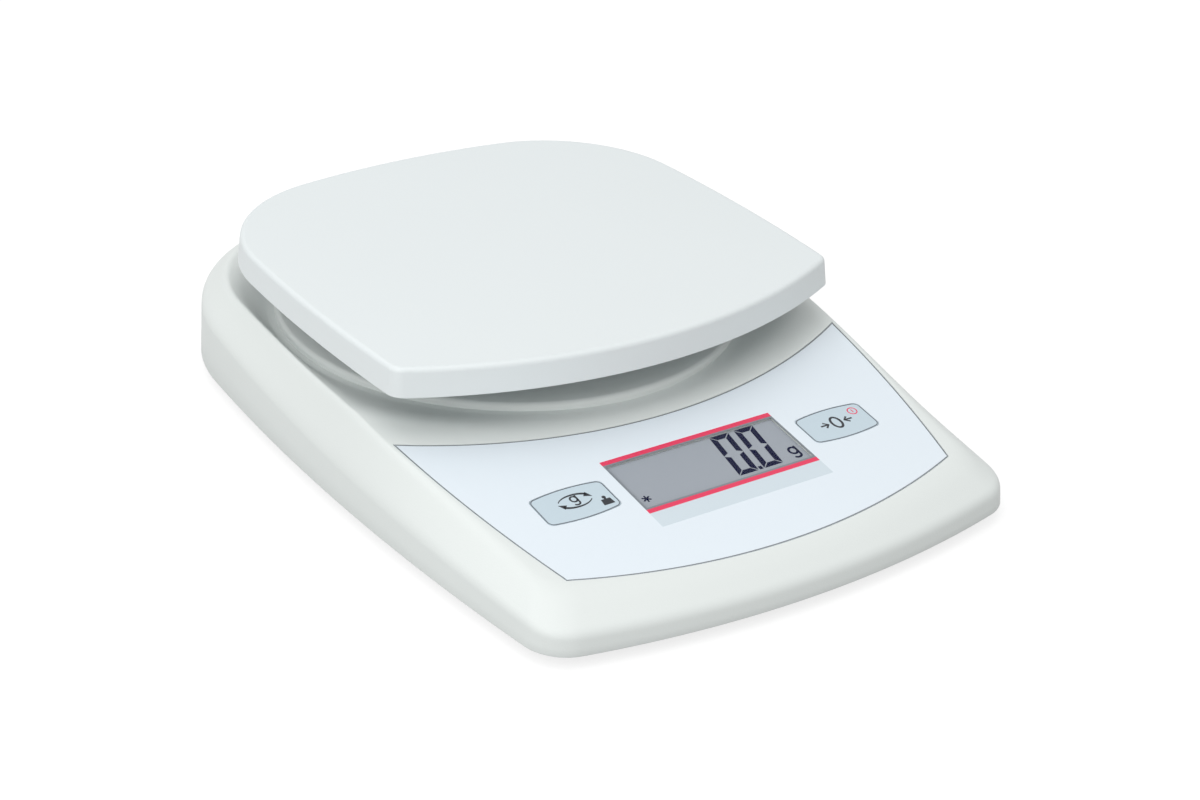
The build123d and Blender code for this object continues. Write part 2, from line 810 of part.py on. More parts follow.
with BuildPart() as carrier_screws:
    with BuildSketch(Plane.XY.offset(carrier_top)):
        with Locations((0, cell_free_y)):
            with GridLocations(0, cell_screw_pitch, 1, 2):
                Circle(screw_head_radius)
    extrude(amount=screw_head_height)
    with BuildSketch(Plane.XY.offset(carrier_top)):
        with Locations((0, cell_free_y)):
            with GridLocations(0, cell_screw_pitch, 1, 2):
                Circle(screw_radius)
    extrude(amount=cell_top - cell_thread - carrier_top)
carrier_screws.part.label = "carrier_screws"

with BuildPart() as support_screws:
    with BuildSketch(Plane.XY.offset(carrier_top + foot_plate)):
        with Locations(*hub_screw_places):
            Circle(2 * support_screw_radius)
    extrude(amount=-foot_plate / 2)
    with BuildSketch(Plane.XY.offset(carrier_top + foot_plate)):
        with Locations(*hub_screw_places):
            Circle(support_screw_radius)
    extrude(amount=-foot_plate - carrier_thickness)
support_screws.part.label = "support_screws"

with BuildPart() as overload_stop:
    with BuildSketch(Plane.XY.offset(foot_stand + slip)):
        with Locations((0, cell_free_y)):
            Circle(screw_radius)
    extrude(amount=cell_bottom - stop_gap - foot_stand - slip)
overload_stop.part.label = "overload_stop"

# Control panel: film, window, keys
film_bottom = panel.offset(-overlay_recess)

with BuildPart() as control_overlay:
    with BuildSketch(film_bottom):
        draw_overlay(film_gap)
        Rectangle(display_width, display_height, mode=Mode.SUBTRACT)
        add(draw_key(-key_x, 0), mode=Mode.SUBTRACT)
        add(draw_key(key_x, 0), mode=Mode.SUBTRACT)
    extrude(amount=overlay_thickness)
control_overlay.part.label = "control_overlay"

with BuildPart() as display_window:
    with BuildSketch(film_bottom):
        Rectangle(display_width - 0.1, display_height - 0.1)
    extrude(amount=overlay_thickness)
display_window.part.label = "display_window"

keys = {}
for name, x in (("unit_key", -key_x), ("zero_key", key_x)):
    with BuildPart() as key:
        with BuildSketch(panel.offset(-key_top)):
            add(draw_key(x, film_gap))
        extrude(amount=-key_thickness)
        with BuildSketch(panel.offset(-key_top - key_thickness)):
            with Locations((x, 0)):
                Rectangle(key_stem_width, key_stem_height)
        extrude(amount=-(stem_end - key_top - key_thickness))
    key.part.label = name
    keys[name] = key.part

# Display module on the main board
with BuildPart() as display_glass:
    with BuildSketch(panel.offset(-glass_bottom)):
        Rectangle(glass_width, glass_height)
    extrude(amount=glass_thickness)
display_glass.part.label = "display_glass"

with BuildPart() as display_frame:
    with BuildSketch(board_top):
        Rectangle(glass_width + 2 * frame_border, glass_height + 2 * frame_border)
        Rectangle(glass_width - 2 * frame_lip, glass_height - 2 * frame_lip, mode=Mode.SUBTRACT)
    extrude(amount=board_depth - frame_top)
    with BuildSketch(panel.offset(-glass_bottom)):
        Rectangle(glass_width + 2 * slip, glass_height + 2 * slip)
    extrude(amount=glass_thickness, mode=Mode.SUBTRACT)
display_frame.part.label = "display_frame"

with BuildPart() as contact_strips:
    with BuildSketch(board_top):
        with GridLocations(0, glass_height - 2 * (frame_lip + slip) - strip_width, 1, 2):
            Rectangle(glass_width - 2 * strip_inset, strip_width)
    extrude(amount=board_depth - glass_bottom)
contact_strips.part.label = "contact_strips"

# Main board
with BuildPart() as main_board:
    with BuildSketch(board_under):
        with Locations((0, board_offset)):
            RectangleRounded(board_width, board_height, rib)
            with GridLocations(2 * board_post_x, 2 * board_post_y, 2, 2):
                Circle(support_screw_radius + screw_fit, mode=Mode.SUBTRACT)
    extrude(amount=board_thickness)
main_board.part.label = "main_board"

switches = {}
for name, x in (("unit_switch", -key_x), ("zero_switch", key_x)):
    with BuildPart() as switch:
        with BuildSketch(board_top):
            with Locations((x, 0)):
                Rectangle(switch_side, switch_side)
        extrude(amount=switch_height)
        with BuildSketch(board_top.offset(switch_height)):
            with Locations((x, 0)):
                Circle(plunger_radius)
        extrude(amount=plunger_height)
    switch.part.label = name
    switches[name] = switch.part

with BuildPart() as processor_chip:
    with BuildSketch(board_under):
        with Locations((0, board_offset)):
            RectangleRounded(processor_side, processor_side, play)
    extrude(amount=-chip_thickness)
processor_chip.part.label = "processor_chip"

with BuildPart() as converter_chip:
    with BuildSketch(board_under):
        with Locations((converter_x, chip_row)):
            RectangleRounded(converter_width, converter_length, play)
    extrude(amount=-chip_thickness)
converter_chip.part.label = "converter_chip"

with BuildPart() as crystal:
    with BuildSketch(board_under):
        with Locations((crystal_x, chip_row)):
            SlotOverall(crystal_length, crystal_width)
    extrude(amount=-crystal_height)
crystal.part.label = "crystal"

with BuildPart() as lead_sockets:
    with BuildSketch(board_top):
        with Locations(*[(x, socket_y) for x in socket_xs.values()]):
            Rectangle(socket_width, socket_height)
    extrude(amount=socket_depth)
lead_sockets.part.label = "lead_sockets"

with BuildPart() as board_screws:
    with BuildSketch(board_under):
        with Locations((0, board_offset)):
            with GridLocations(2 * board_post_x, 2 * board_post_y, 2, 2):
                Circle(2 * support_screw_radius)
    extrude(amount=-screw_head_height)
    with BuildSketch(board_under):
        with Locations((0, board_offset)):
            with GridLocations(2 * board_post_x, 2 * board_post_y, 2, 2):
                Circle(support_screw_radius)
    extrude(amount=board_thickness + board_depth - wall - 2 * play)
board_screws.part.label = "board_screws"

# Battery door, batteries and their contacts
with BuildPart() as battery_door:
    with BuildSketch(Plane.XY.offset(foot_stand)):
        with Locations((bay_middle_x, battery_y)):
            RectangleRounded(door_width - 2 * play, door_length - 2 * play, rib / 2)
    extrude(amount=door_thickness - screw_fit)
    tab_y = door_front_y + play
    with BuildSketch(Plane.XY.offset(foot_stand + door_thickness - door_tab_thickness)):
        with Locations(*[(x, tab_y) for x in door_tab_xs]):
            Rectangle(door_tab_width, 2 * door_tab_reach)
    extrude(amount=door_tab_thickness - screw_fit)
    with BuildSketch(Plane.XY.offset(foot_stand)):
        with Locations((bay_middle_x, bay_back_y - 2 * door_grip_radius)):
            SlotOverall(4 * door_grip_radius, door_grip_radius)
    extrude(amount=door_grip_depth, mode=Mode.SUBTRACT)
battery_door.part.label = "battery_door"

batteries = {}
spring_marks = []
for i, x in enumerate(battery_xs):
    facing = 1 if i % 2 == 0 else -1
    cup_y = battery_y - facing * (bay_half_length - contact_thickness - spring_room)
    can_length = battery_length - terminal_height
    with BuildPart() as battery:
        with BuildSketch(Plane.XZ.offset(-cup_y)):
            with Locations((x, battery_axis_z)):
                Circle(battery_radius)
        extrude(amount=-facing * can_length)
        with BuildSketch(Plane.XZ.offset(-cup_y)):
            with Locations((x, battery_axis_z)):
                Circle(terminal_radius)
        extrude(amount=-facing * battery_length)
    battery.part.label = f"battery_{i + 1}"
    batteries[battery.part.label] = battery.part
    spring_marks.append((x, cup_y, facing))

with BuildPart() as battery_plates:
    for end_y, direction in ((bay_front_y, -1), (bay_back_y, 1)):
        with BuildSketch(Plane.XZ.offset(-end_y)):
            with Locations(*[(x, battery_axis_z) for x in battery_xs]):
                Rectangle(plate_side, plate_side)
        extrude(amount=direction * contact_thickness)
battery_plates.part.label = "battery_plates"

coil_length = spring_room - 2 * spring_wire - 2 * screw_fit
coil_plane_gap = spring_wire + screw_fit

with BuildPart() as battery_springs:
    for x, cup_y, facing in spring_marks:
        start = (x, cup_y - facing * coil_plane_gap, battery_axis_z)
        with BuildLine() as coil:
            Helix(
                pitch=coil_length / spring_turns,
                height=coil_length,
                radius=spring_radius,
                center=start,
                direction=(0, -facing, 0),
                cone_angle=spring_cone_angle,
            )
        with BuildSketch(Plane(origin=coil.line @ 0, z_dir=coil.line % 0)):
            Circle(spring_wire)
        sweep(path=coil.line, is_frenet=True)
battery_springs.part.label = "battery_springs"

# Feet
feet = {}
for i, place in enumerate(foot_places):
    with BuildPart() as foot:
        with BuildSketch():
            with Locations(place):
                Circle(foot_radius)
        extrude(amount=foot_stand + foot_recess)
        fillet(faces().sort_by(Axis.Z)[0].edges(), radius=foot_recess)
    foot.part.label = f"rubber_foot_{i + 1}"
    feet[foot.part.label] = foot.part

with BuildPart() as housing_screws:
    with BuildSketch(Plane.XY.offset(foot_stand + slip)):
        with Locations(*housing_screw_places):
            Circle(screw_head_radius)
    extrude(amount=screw_head_height)
    with BuildSketch(Plane.XY.offset(foot_stand + slip)):
        with Locations(*housing_screw_places):
            Circle(screw_radius)
    extrude(amount=wall + screw_grip - rib)
housing_screws.part.label = "housing_screws"

# Transport lock: knob, shaft and a wing that a quarter turn swings under the carrier's tab
knob_bottom = well_floor - slip / 2 - lock_thickness
wing_top = carrier_bottom - lock_clearance
clip_bottom = well_floor + wall + screw_fit

with BuildPart() as transport_lock:
    with BuildSketch(Plane.XY.offset(knob_bottom)):
        with Locations((lock_x, lock_y)):
            Circle(lock_radius)
    extrude(amount=lock_thickness)
    with BuildSketch(Plane.XY.offset(knob_bottom)):
        with Locations((lock_x, lock_y)):
            Circle(lock_shaft_radius)
    extrude(amount=wing_top - knob_bottom)
    with BuildSketch(Plane.XY.offset(wing_top)):
        with Locations((lock_x, lock_y - lock_wing_length / 2)):
            Rectangle(lock_wing_width, lock_wing_length)
    extrude(amount=-lock_wing_height)
    with BuildSketch(Plane.XY.offset(knob_bottom)):
        with Locations((lock_x, lock_y)):
            Rectangle(coin_slot_width, 2 * (lock_radius - coin_slot_margin))
    extrude(amount=coin_slot_depth, mode=Mode.SUBTRACT)
    with BuildSketch(Plane.XY.offset(clip_bottom - screw_fit)):
        with Locations((lock_x, lock_y)):
            Circle(lock_shaft_radius + 1)
            Circle(groove_radius, mode=Mode.SUBTRACT)
    extrude(amount=clip_thickness + 2 * screw_fit, mode=Mode.SUBTRACT)
transport_lock.part.label = "transport_lock"

with BuildPart() as lock_clip:
    with BuildSketch(Plane.XY.offset(clip_bottom)):
        with Locations((lock_x, lock_y)):
            Circle(clip_radius)
            Circle(groove_radius + screw_fit, mode=Mode.SUBTRACT)
        with Locations((lock_x, lock_y + clip_radius)):
            Rectangle(2 * groove_radius - 1, 2 * clip_radius, mode=Mode.SUBTRACT)
    extrude(amount=clip_thickness)
lock_clip.part.label = "lock_clip"

# Power inlet
with BuildPart() as power_inlet:
    with BuildSketch(Plane.XZ.offset(-inlet_front)):
        with Locations((inlet_x, inlet_level)):
            Rectangle(inlet_width, inlet_height)
    extrude(amount=inlet_length)
    with BuildSketch(Plane.XZ.offset(-inlet_front)):
        with Locations((inlet_x, inlet_level)):
            Circle(inlet_nose_radius)
    extrude(amount=-(inlet_face_y - inlet_front))
    with BuildSketch(Plane.XZ.offset(-inlet_face_y)):
        with Locations((inlet_x, inlet_level)):
            Circle(inlet_bore_radius)
    extrude(amount=inlet_bore_depth, mode=Mode.SUBTRACT)
power_inlet.part.label = "power_inlet"

with BuildPart() as inlet_pin:
    with BuildSketch(Plane.XZ.offset(-inlet_face_y + inlet_bore_depth)):
        with Locations((inlet_x, inlet_level)):
            Circle(inlet_pin_radius)
    extrude(amount=-(inlet_bore_depth - 1))
inlet_pin.part.label = "inlet_pin"

# Leads, each from where it starts to its socket on the main board
socket_level = board_top.offset(socket_depth / 2)


def socket_mouth(x):
    """The point on a socket's back face where its lead goes in."""
    y = socket_y + socket_height / 2 + lead_gap
    return socket_level.from_local_coords(Vector(x, y, 0))


def lead_path(start, middle, x):
    """Straight runs joined by large tangent arcs, from a start to the socket at x."""
    mouth = socket_mouth(x)
    before = mouth + Vector(0, lead_straight, 0)
    points = [start, *middle, before, mouth]
    bends = []
    for last, here, after in zip(points, points[1:], points[2:]):
        turn = (here - last).get_angle(after - here)
        run = min((here - last).length, (after - here).length)
        bends.append(min(0.45 * run / tan(radians(turn / 2)), lead_max_bend))
    return points, bends


cell_lead_start = Vector(0, cell_front_y - lead_gap, cell_bottom + cell_height / 2)
cell_lead_foot = Vector(0, cell_front_y, cell_bottom)
battery_lead_start = Vector(battery_xs[0], bay_front_y - bay_wall - lead_gap, battery_axis_z)
battery_lead_foot = Vector(battery_xs[0], bay_front_y, battery_axis_z)
routes = {
    "cell_lead": (cell_lead_start, [cell_lead_foot + Vector(*cell_lead_step)], socket_xs["cell"]),
    "battery_lead": (
        battery_lead_start,
        [battery_lead_foot + Vector(*battery_lead_step), Vector(*battery_lead_turn)],
        socket_xs["battery"],
    ),
    "inlet_lead": (
        Vector(inlet_x, inlet_back - lead_gap, inlet_level),
        [Vector(*turn) for turn in inlet_lead_turns],
        socket_xs["dc"],
    ),
}
leads = {}
for name, (start, middle, x) in routes.items():
    points, bends = lead_path(start, middle, x)
    print(name, "bend radii", [round(b, 1) for b in bends])
    with BuildPart() as lead:
        with BuildLine() as path:
            FilletPolyline(*points, radius=bends)
        with BuildSketch(Plane(origin=path.line @ 0, z_dir=path.line % 0)):
            Circle(lead_radius)
        sweep(path=path.line)
    lead.part.label = name
    leads[name] = lead.part

loose_parts = [
    top_housing,
    bottom_housing,
    weighing_pan,
    pan_support,
    pan_pads,
    load_cell,
    strain_gauges,
    lower_spacer,
    upper_spacer,
    pan_carrier,
    load_cell_screws,
    carrier_screws,
    support_screws,
    overload_stop,
    control_overlay,
    display_window,
    display_glass,
    display_frame,
    contact_strips,
    main_board,
    processor_chip,
    converter_chip,
    crystal,
    lead_sockets,
    board_screws,
    battery_door,
    battery_plates,
    battery_springs,
    housing_screws,
    transport_lock,
    lock_clip,
    power_inlet,
    inlet_pin,
]
named = {piece.part.label: piece.part for piece in loose_parts}
for group in (keys, switches, batteries, feet, leads):
    named.update(group)
for name, solid in named.items():
    export_step(solid, f"parts/{name}.step")
print(len(named), "pieces")
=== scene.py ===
"""Looks of the compact balance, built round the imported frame.

Lengths here are millimetres in the frame's own axes; MM turns them into Blender's metres.
"""
from math import atan2, cos, pi, radians, sin, sqrt

import bmesh
import bpy
import numpy as np
from mathutils import Matrix, Vector


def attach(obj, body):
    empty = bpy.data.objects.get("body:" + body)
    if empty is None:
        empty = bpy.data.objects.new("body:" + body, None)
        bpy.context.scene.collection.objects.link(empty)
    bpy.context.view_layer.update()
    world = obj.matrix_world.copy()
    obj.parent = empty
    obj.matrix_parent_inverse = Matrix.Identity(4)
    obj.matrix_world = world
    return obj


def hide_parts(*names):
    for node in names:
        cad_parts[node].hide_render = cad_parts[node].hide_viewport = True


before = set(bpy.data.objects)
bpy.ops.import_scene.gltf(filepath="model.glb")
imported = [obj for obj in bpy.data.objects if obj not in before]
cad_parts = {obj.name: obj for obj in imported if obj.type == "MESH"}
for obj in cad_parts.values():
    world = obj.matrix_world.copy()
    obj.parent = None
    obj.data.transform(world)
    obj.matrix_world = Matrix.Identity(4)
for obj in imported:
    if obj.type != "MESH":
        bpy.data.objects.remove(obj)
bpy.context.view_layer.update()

MM = 0.001

# Housing outline at its foot and at its rim, as in the solids
foot_stand = 3.0
rim_level = 25.0
body_length = 205.5
body_front_bow = 8.5
body_back_bow = 13.4
rim_back_bow = 12.8
rim_back_inset = 7.0
body_front_y = -body_length / 2 + body_front_bow
body_back_y = body_length / 2 - body_back_bow
rim_back_y = body_length / 2 - rim_back_inset - rim_back_bow
body_sides = dict(
    waist=72.0, waist_y=-3.9,
    front=65.9, front_y=body_front_y, front_bow=body_front_bow, front_corner=11.3,
    back=65.5, back_y=body_back_y, back_bow=body_back_bow, back_corner=50.6,
)
rim_sides = dict(
    waist=66.3, waist_y=-4.0,
    front=47.5, front_y=-67.0, front_bow=5.0, front_corner=8.0,
    back=59.0, back_y=rim_back_y, back_bow=rim_back_bow, back_corner=45.0,
)
wall = 2.2
skirt_draft = 0.6
skirt_front = 4.9
skirt_rise = 0.058

# Plateau, valley and the opening for the pan's support
plateau_y = 26.4
plateau_radius = 59.5
plateau_level = 23.0
plateau_edge = 1.3
valley_level = 21.2
valley_floor_width = 1.6
valley_cove = 3.9
hub_y = 21.5
hub_opening = 12.0
collar_wall = 2.0
collar_height = 1.5

# Control panel: v runs up the slope from the middle of the display, n out of the face
panel_y = -61.6
panel_level = 17.1
panel_slope = radians(8.53)
overlay_recess = 0.45
overlay_top = -0.05
overlay_back = (64.3, 35.7, -15.6)
overlay_front = (54.4, -22.1, -9.5)
overlay_side_bow = 1.2
display_width = 48.8
display_height = 17.7
display_ledge = 0.4
glass_top = -1.5
lens_top = -0.6
key_x = 37.7
key_width = 19.6
key_height = 9.6
key_bow = 0.9
key_corner = 1.5
key_pocket = 1.1
stem_hole = (7.0, 5.0)
inlet_x = -22.0
inlet_level = 11.5
inlet_face_y = 100.0
inlet_pocket_radius = 6.0
inlet_hole_radius = 4.15

# How softly the moulded edges turn
ridge_round = 1.5
valley_round = 1.6
brow_round = 1.2
ridge_inset = 1.2
ridge_band = 2.5
inner_band_share = 0.45
outer_band_share = 0.4
widest_dish = 13.0
dish_rise = 1.4
crease_round = 1.6
foot_edge = 0.35
foot_edge_middle = 0.1
collar_edge = 0.3
collar_fillet = 0.4
corner_share = 0.3

# Inside of the housing's skin, beyond the wall
inner_crease_inset = 0.6
inner_crease_drop = 0.7
inner_ridge_inset = 0.4
inner_ridge_drop = 0.3

# Points round the housing, and where its rings lie: most are shares of a stretch
ray_count = 960
front_points, front_corner_points, waist_front_points = 200, 120, 200
waist_back_points, back_corner_points, back_points = 160, 200, 160
ridge_search = 1.0
ridge_halvings = 40
plateau_shares = (0.25, 0.5, 0.75, 0.92)
plateau_edge_steps = 8
plateau_clearance = 0.02
valley_steps = (0.0, 0.25, 0.8, valley_floor_width)
cove_shares = np.linspace(0.1, 1.0, 12)
deck_shares = np.linspace(0.06, 1.0, 22)
ridge_shares = (-0.8, -0.6, -0.45, -0.3, -0.15, 0.0, 0.15, 0.3, 0.45, 0.6, 0.8, 1.0)
shoulder_shares = (0.2, 0.4, 0.6, 0.8, 1.0)
crease_shares = np.linspace(0.125, 1.0, 8)
skirt_shares = (0.5, 1.0)
inner_shares = np.linspace(0.95, 0.05, 14)
sharpest_round = radians(38)

# How thick printing is, and how far it sinks into what it lies on
ink = 0.02
ink_sink = 0.005


# Small mesh tools
def panel_point(x, v, n):
    """A point on the control panel, n out of its face."""
    y = panel_y + v * cos(panel_slope) - n * sin(panel_slope)
    z = panel_level + v * sin(panel_slope) + n * cos(panel_slope)
    return (x * MM, y * MM, z * MM)


def base_point(x, y, n):
    """A point under the housing, n below its bottom face."""
    return (x * MM, y * MM, (foot_stand - n) * MM)


def new_piece(name, verts, faces, material, body, slot):
    """A mesh object that rides on a body."""
    mesh = bpy.data.meshes.new(name)
    mesh.from_pydata([tuple(map(float, v)) for v in verts], [], [list(map(int, f)) for f in faces])
    work = bmesh.new()
    work.from_mesh(mesh)
    bmesh.ops.remove_doubles(work, verts=work.verts, dist=1e-7)
    bmesh.ops.recalc_face_normals(work, faces=work.faces)
    work.to_mesh(mesh)
    work.free()
    mesh.materials.append(material)
    piece = bpy.data.objects.new(name, mesh)
    bpy.context.scene.collection.objects.link(piece)
    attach(piece, body)
    return piece


def slab(loops, place, low, high):
    """Closed prisms over flat loops, between two heights over a surface."""
    verts, faces = [], []
    for loop in loops:
        first = len(verts)
        count = len(loop)
        verts += [place(x, v, low) for x, v in loop]
        verts += [place(x, v, high) for x, v in loop]
        faces.append([first + i for i in range(count)])
        faces.append([first + count + i for i in reversed(range(count))])
        for i in range(count):
            j = (i + 1) % count
            faces.append([first + i, first + j, first + count + j, first + count + i])
    return verts, faces


def band(outer, inner, place, low, high):
    """A closed flat ring between two loops of as many points."""
    count = len(outer)
    verts = [place(x, v, n) for n in (low, high) for loop in (outer, inner) for x, v in loop]
    faces = []
    for i in range(count):
        j = (i + 1) % count
        a, b, c, d = i, j, count + j, count + i
        top = 2 * count
        faces.append([a, b, c, d])
        faces.append([top + d, top + c, top + b, top + a])
        faces.append([a, top + a, top + b, b])
        faces.append([d, c, top + c, top + d])
    return verts, faces


def merge(*parts):
    """Several sets of vertices and faces as one."""
    verts, faces = [], []
    for part_verts, part_faces in parts:
        first = len(verts)
        verts += part_verts
        faces += [[first + i for i in face] for face in part_faces]
    return verts, faces


def rectangle(x0, v0, x1, v1):
    return [(x0, v0), (x1, v0), (x1, v1), (x0, v1)]


def disc(x, v, radius, count=40):
    angles = [2 * pi * i / count for i in range(count)]
    return [(x + radius * cos(a), v + radius * sin(a)) for a in angles]


def arc(x, v, radius, start, end, count=24, flatten=1.0):
    """Points along an arc, in degrees; flatten squeezes it in height."""
    angles = [radians(start + (end - start) * i / count) for i in range(count + 1)]
    return [(x + radius * cos(a), v + flatten * radius * sin(a)) for a in angles]


def oval(x, v, half_width, half_height, count=48):
    return [(x + px * half_width, v + pv * half_height) for px, pv in disc(0, 0, 1, count)]


def tapered(points, start, end):
    """A curved stroke that widens from one end to the other."""
    outer, inner = [], []
    for i, (x, v) in enumerate(points):
        x0, v0 = points[max(i - 1, 0)]
        x1, v1 = points[min(i + 1, len(points) - 1)]
        length = sqrt((x1 - x0) ** 2 + (v1 - v0) ** 2)
        half = (start + (end - start) * i / (len(points) - 1)) / 2
        outer.append((x - (v1 - v0) / length * half, v + (x1 - x0) / length * half))
        inner.append((x + (v1 - v0) / length * half, v - (x1 - x0) / length * half))
    return outer + inner[::-1]


def stroke(points, width):
    """A line of constant width along points, as one loop."""
    return tapered(points, width, width)


def bowed_loop(half_width, half_height, corner, bow, inset=0.0, x=0.0, v=0.0):
    """A rounded rectangle whose long edges bow out."""
    least_corner = 0.2
    corner_steps = 10
    edge_steps = 24
    half_width -= inset
    half_height -= inset
    corner = max(corner - inset, least_corner)
    loop = []
    for turn, sx, sv in ((0, 1, 1), (90, -1, 1), (180, -1, -1), (270, 1, -1)):
        for i in range(corner_steps + 1):
            a = radians(turn + 90 * i / corner_steps)
            px = sx * (half_width - corner) + corner * cos(a)
            pv = sv * (half_height - corner) + corner * sin(a)
            loop.append((px, pv))
        if turn in (0, 180):
            end = -sx * (half_width - corner)
            start = sx * (half_width - corner)
            for i in range(1, edge_steps):
                loop.append((start + (end - start) * i / edge_steps, sv * half_height))
    bowed = []
    for px, pv in loop:
        lift = 1 + bow / half_height * (1 - (px / half_width) ** 2)
        bowed.append((x + px, v + pv * lift))
    return bowed


def three_point_arc(a, b, c, count):
    """Points from a to c along the circle through a, b and c."""
    (ax, ay), (bx, by), (cx, cy) = a, b, c
    d = 2 * (ax * (by - cy) + bx * (cy - ay) + cx * (ay - by))
    a2, b2, c2 = ax * ax + ay * ay, bx * bx + by * by, cx * cx + cy * cy
    ox = (a2 * (by - cy) + b2 * (cy - ay) + c2 * (ay - by)) / d
    oy = (a2 * (cx - bx) + b2 * (ax - cx) + c2 * (bx - ax)) / d
    radius = sqrt((ax - ox) ** 2 + (ay - oy) ** 2)
    start = atan2(ay - oy, ax - ox)
    middle = (atan2(by - oy, bx - ox) - start + pi) % (2 * pi) - pi
    end = (atan2(cy - oy, cx - ox) - start + pi) % (2 * pi) - pi
    if middle * end < 0:
        end += 2 * pi if middle > 0 else -2 * pi
    angles = [start + end * i / count for i in range(count)]
    return [(ox + radius * cos(a), oy + radius * sin(a)) for a in angles]


def overlay_loop(inset=0.0):
    """The control film's outline, corner to corner."""
    back, back_v, sag = overlay_back
    front, front_v, bow = overlay_front
    side_x = (back + front) / 2 + overlay_side_bow
    side_v = (back_v + front_v) / 2
    corners = [(-back, back_v), (back, back_v), (front, front_v), (-front, front_v)]
    middles = [(0, back_v + sag), (side_x, side_v), (0, front_v + bow), (-side_x, side_v)]
    side_steps = 60
    loop = []
    for i in range(4):
        loop += three_point_arc(corners[i], middles[i], corners[(i + 1) % 4], side_steps)
    if inset:
        loop = shrink(loop, inset)
    return loop


def shrink(loop, inset):
    """Each point of a loop moved in, square to its neighbours' line."""
    points = np.array(loop)
    along = np.roll(points, -1, axis=0) - np.roll(points, 1, axis=0)
    along /= np.linalg.norm(along, axis=1)[:, None]
    inward = np.stack([-along[:, 1], along[:, 0]], axis=1)
    area = np.sum(points[:, 0] * np.roll(points[:, 1], -1) - points[:, 1] * np.roll(points[:, 0], -1))
    return [tuple(p) for p in points + inward * (inset if area > 0 else -inset)]


# Materials
def material(name, color, rough, grain, bump, metal=0.0, vary=0.03, specular=0.5, alpha=1.0):
    """A moulded, milled or printed surface: fine bump, and colour and gloss that drift slightly."""
    broad_scale = 22.0
    gloss_drift = 0.12
    bump_height = 0.0002
    made = bpy.data.materials.new(name)
    made.use_nodes = True
    nodes, links = made.node_tree.nodes, made.node_tree.links
    shader = nodes["Principled BSDF"]
    shader.inputs["Metallic"].default_value = metal
    shader.inputs["Specular IOR Level"].default_value = specular
    shader.inputs["Alpha"].default_value = alpha
    place = nodes.new("ShaderNodeTexCoord")
    broad = nodes.new("ShaderNodeTexNoise")
    broad.inputs["Scale"].default_value = broad_scale
    broad.inputs["Detail"].default_value = 3.0
    links.new(place.outputs["Object"], broad.inputs["Vector"])
    tint = nodes.new("ShaderNodeMix")
    tint.data_type = "RGBA"
    tint.inputs["A"].default_value = (*[c * (1 - vary) for c in color], 1)
    tint.inputs["B"].default_value = (*[min(c * (1 + vary), 1.0) for c in color], 1)
    links.new(broad.outputs["Fac"], tint.inputs["Factor"])
    links.new(tint.outputs["Result"], shader.inputs["Base Color"])
    gloss = nodes.new("ShaderNodeMapRange")
    gloss.inputs["To Min"].default_value = rough * (1 - gloss_drift)
    gloss.inputs["To Max"].default_value = min(rough * (1 + gloss_drift), 1.0)
    fine = nodes.new("ShaderNodeTexNoise")
    fine.inputs["Scale"].default_value = grain
    fine.inputs["Detail"].default_value = 2.0
    links.new(place.outputs["Object"], fine.inputs["Vector"])
    links.new(fine.outputs["Fac"], gloss.inputs["Value"])
    links.new(gloss.outputs["Result"], shader.inputs["Roughness"])
    relief = nodes.new("ShaderNodeBump")
    relief.inputs["Strength"].default_value = bump
    relief.inputs["Distance"].default_value = bump_height
    links.new(fine.outputs["Fac"], relief.inputs["Height"])
    links.new(relief.outputs["Normal"], shader.inputs["Normal"])
    return made


def linear(r, g, b):
    """An 8-bit sRGB colour as linear values."""
    out = []
    for c in (r, g, b):
        c /= 255
        out.append(c / 12.92 if c <= 0.04045 else ((c + 0.055) / 1.055) ** 2.4)
    return tuple(out)


shell_plastic = material("shell_plastic", linear(222, 227, 225), rough=0.5, grain=2600, bump=0.10, vary=0.008)
pan_plastic = material("pan_plastic", linear(223, 229, 230), rough=0.46, grain=2600, bump=0.10, vary=0.008)
base_plastic = material("base_plastic", linear(205, 206, 205), rough=0.55, grain=2200, bump=0.12, vary=0.015)
film = material("film", linear(224, 233, 240), rough=0.32, grain=4000, bump=0.03, vary=0.004)
# Painted shade: a mid grey for the inner shadow round the display window's edge
window_shade_grey = material("window_shade_grey", linear(126, 132, 139), rough=0.35, grain=4000, bump=0.02)
# Painted shade: grey for the shadow line in the gap round the film's recess
film_shade_grey = material("film_shade_grey", linear(120, 125, 130), rough=0.4, grain=4000, bump=0.02)
strip_print = material("strip_print", linear(206, 218, 225), rough=0.32, grain=4000, bump=0.03, vary=0.006)
red_print = material("red_print", linear(228, 52, 92), rough=0.3, grain=4000, bump=0.03, vary=0.02)
key_film = material("key_film", linear(194, 210, 219), rough=0.34, grain=4000, bump=0.03, vary=0.006)
key_outline = material("key_outline", linear(98, 104, 112), rough=0.4, grain=4000, bump=0.02)
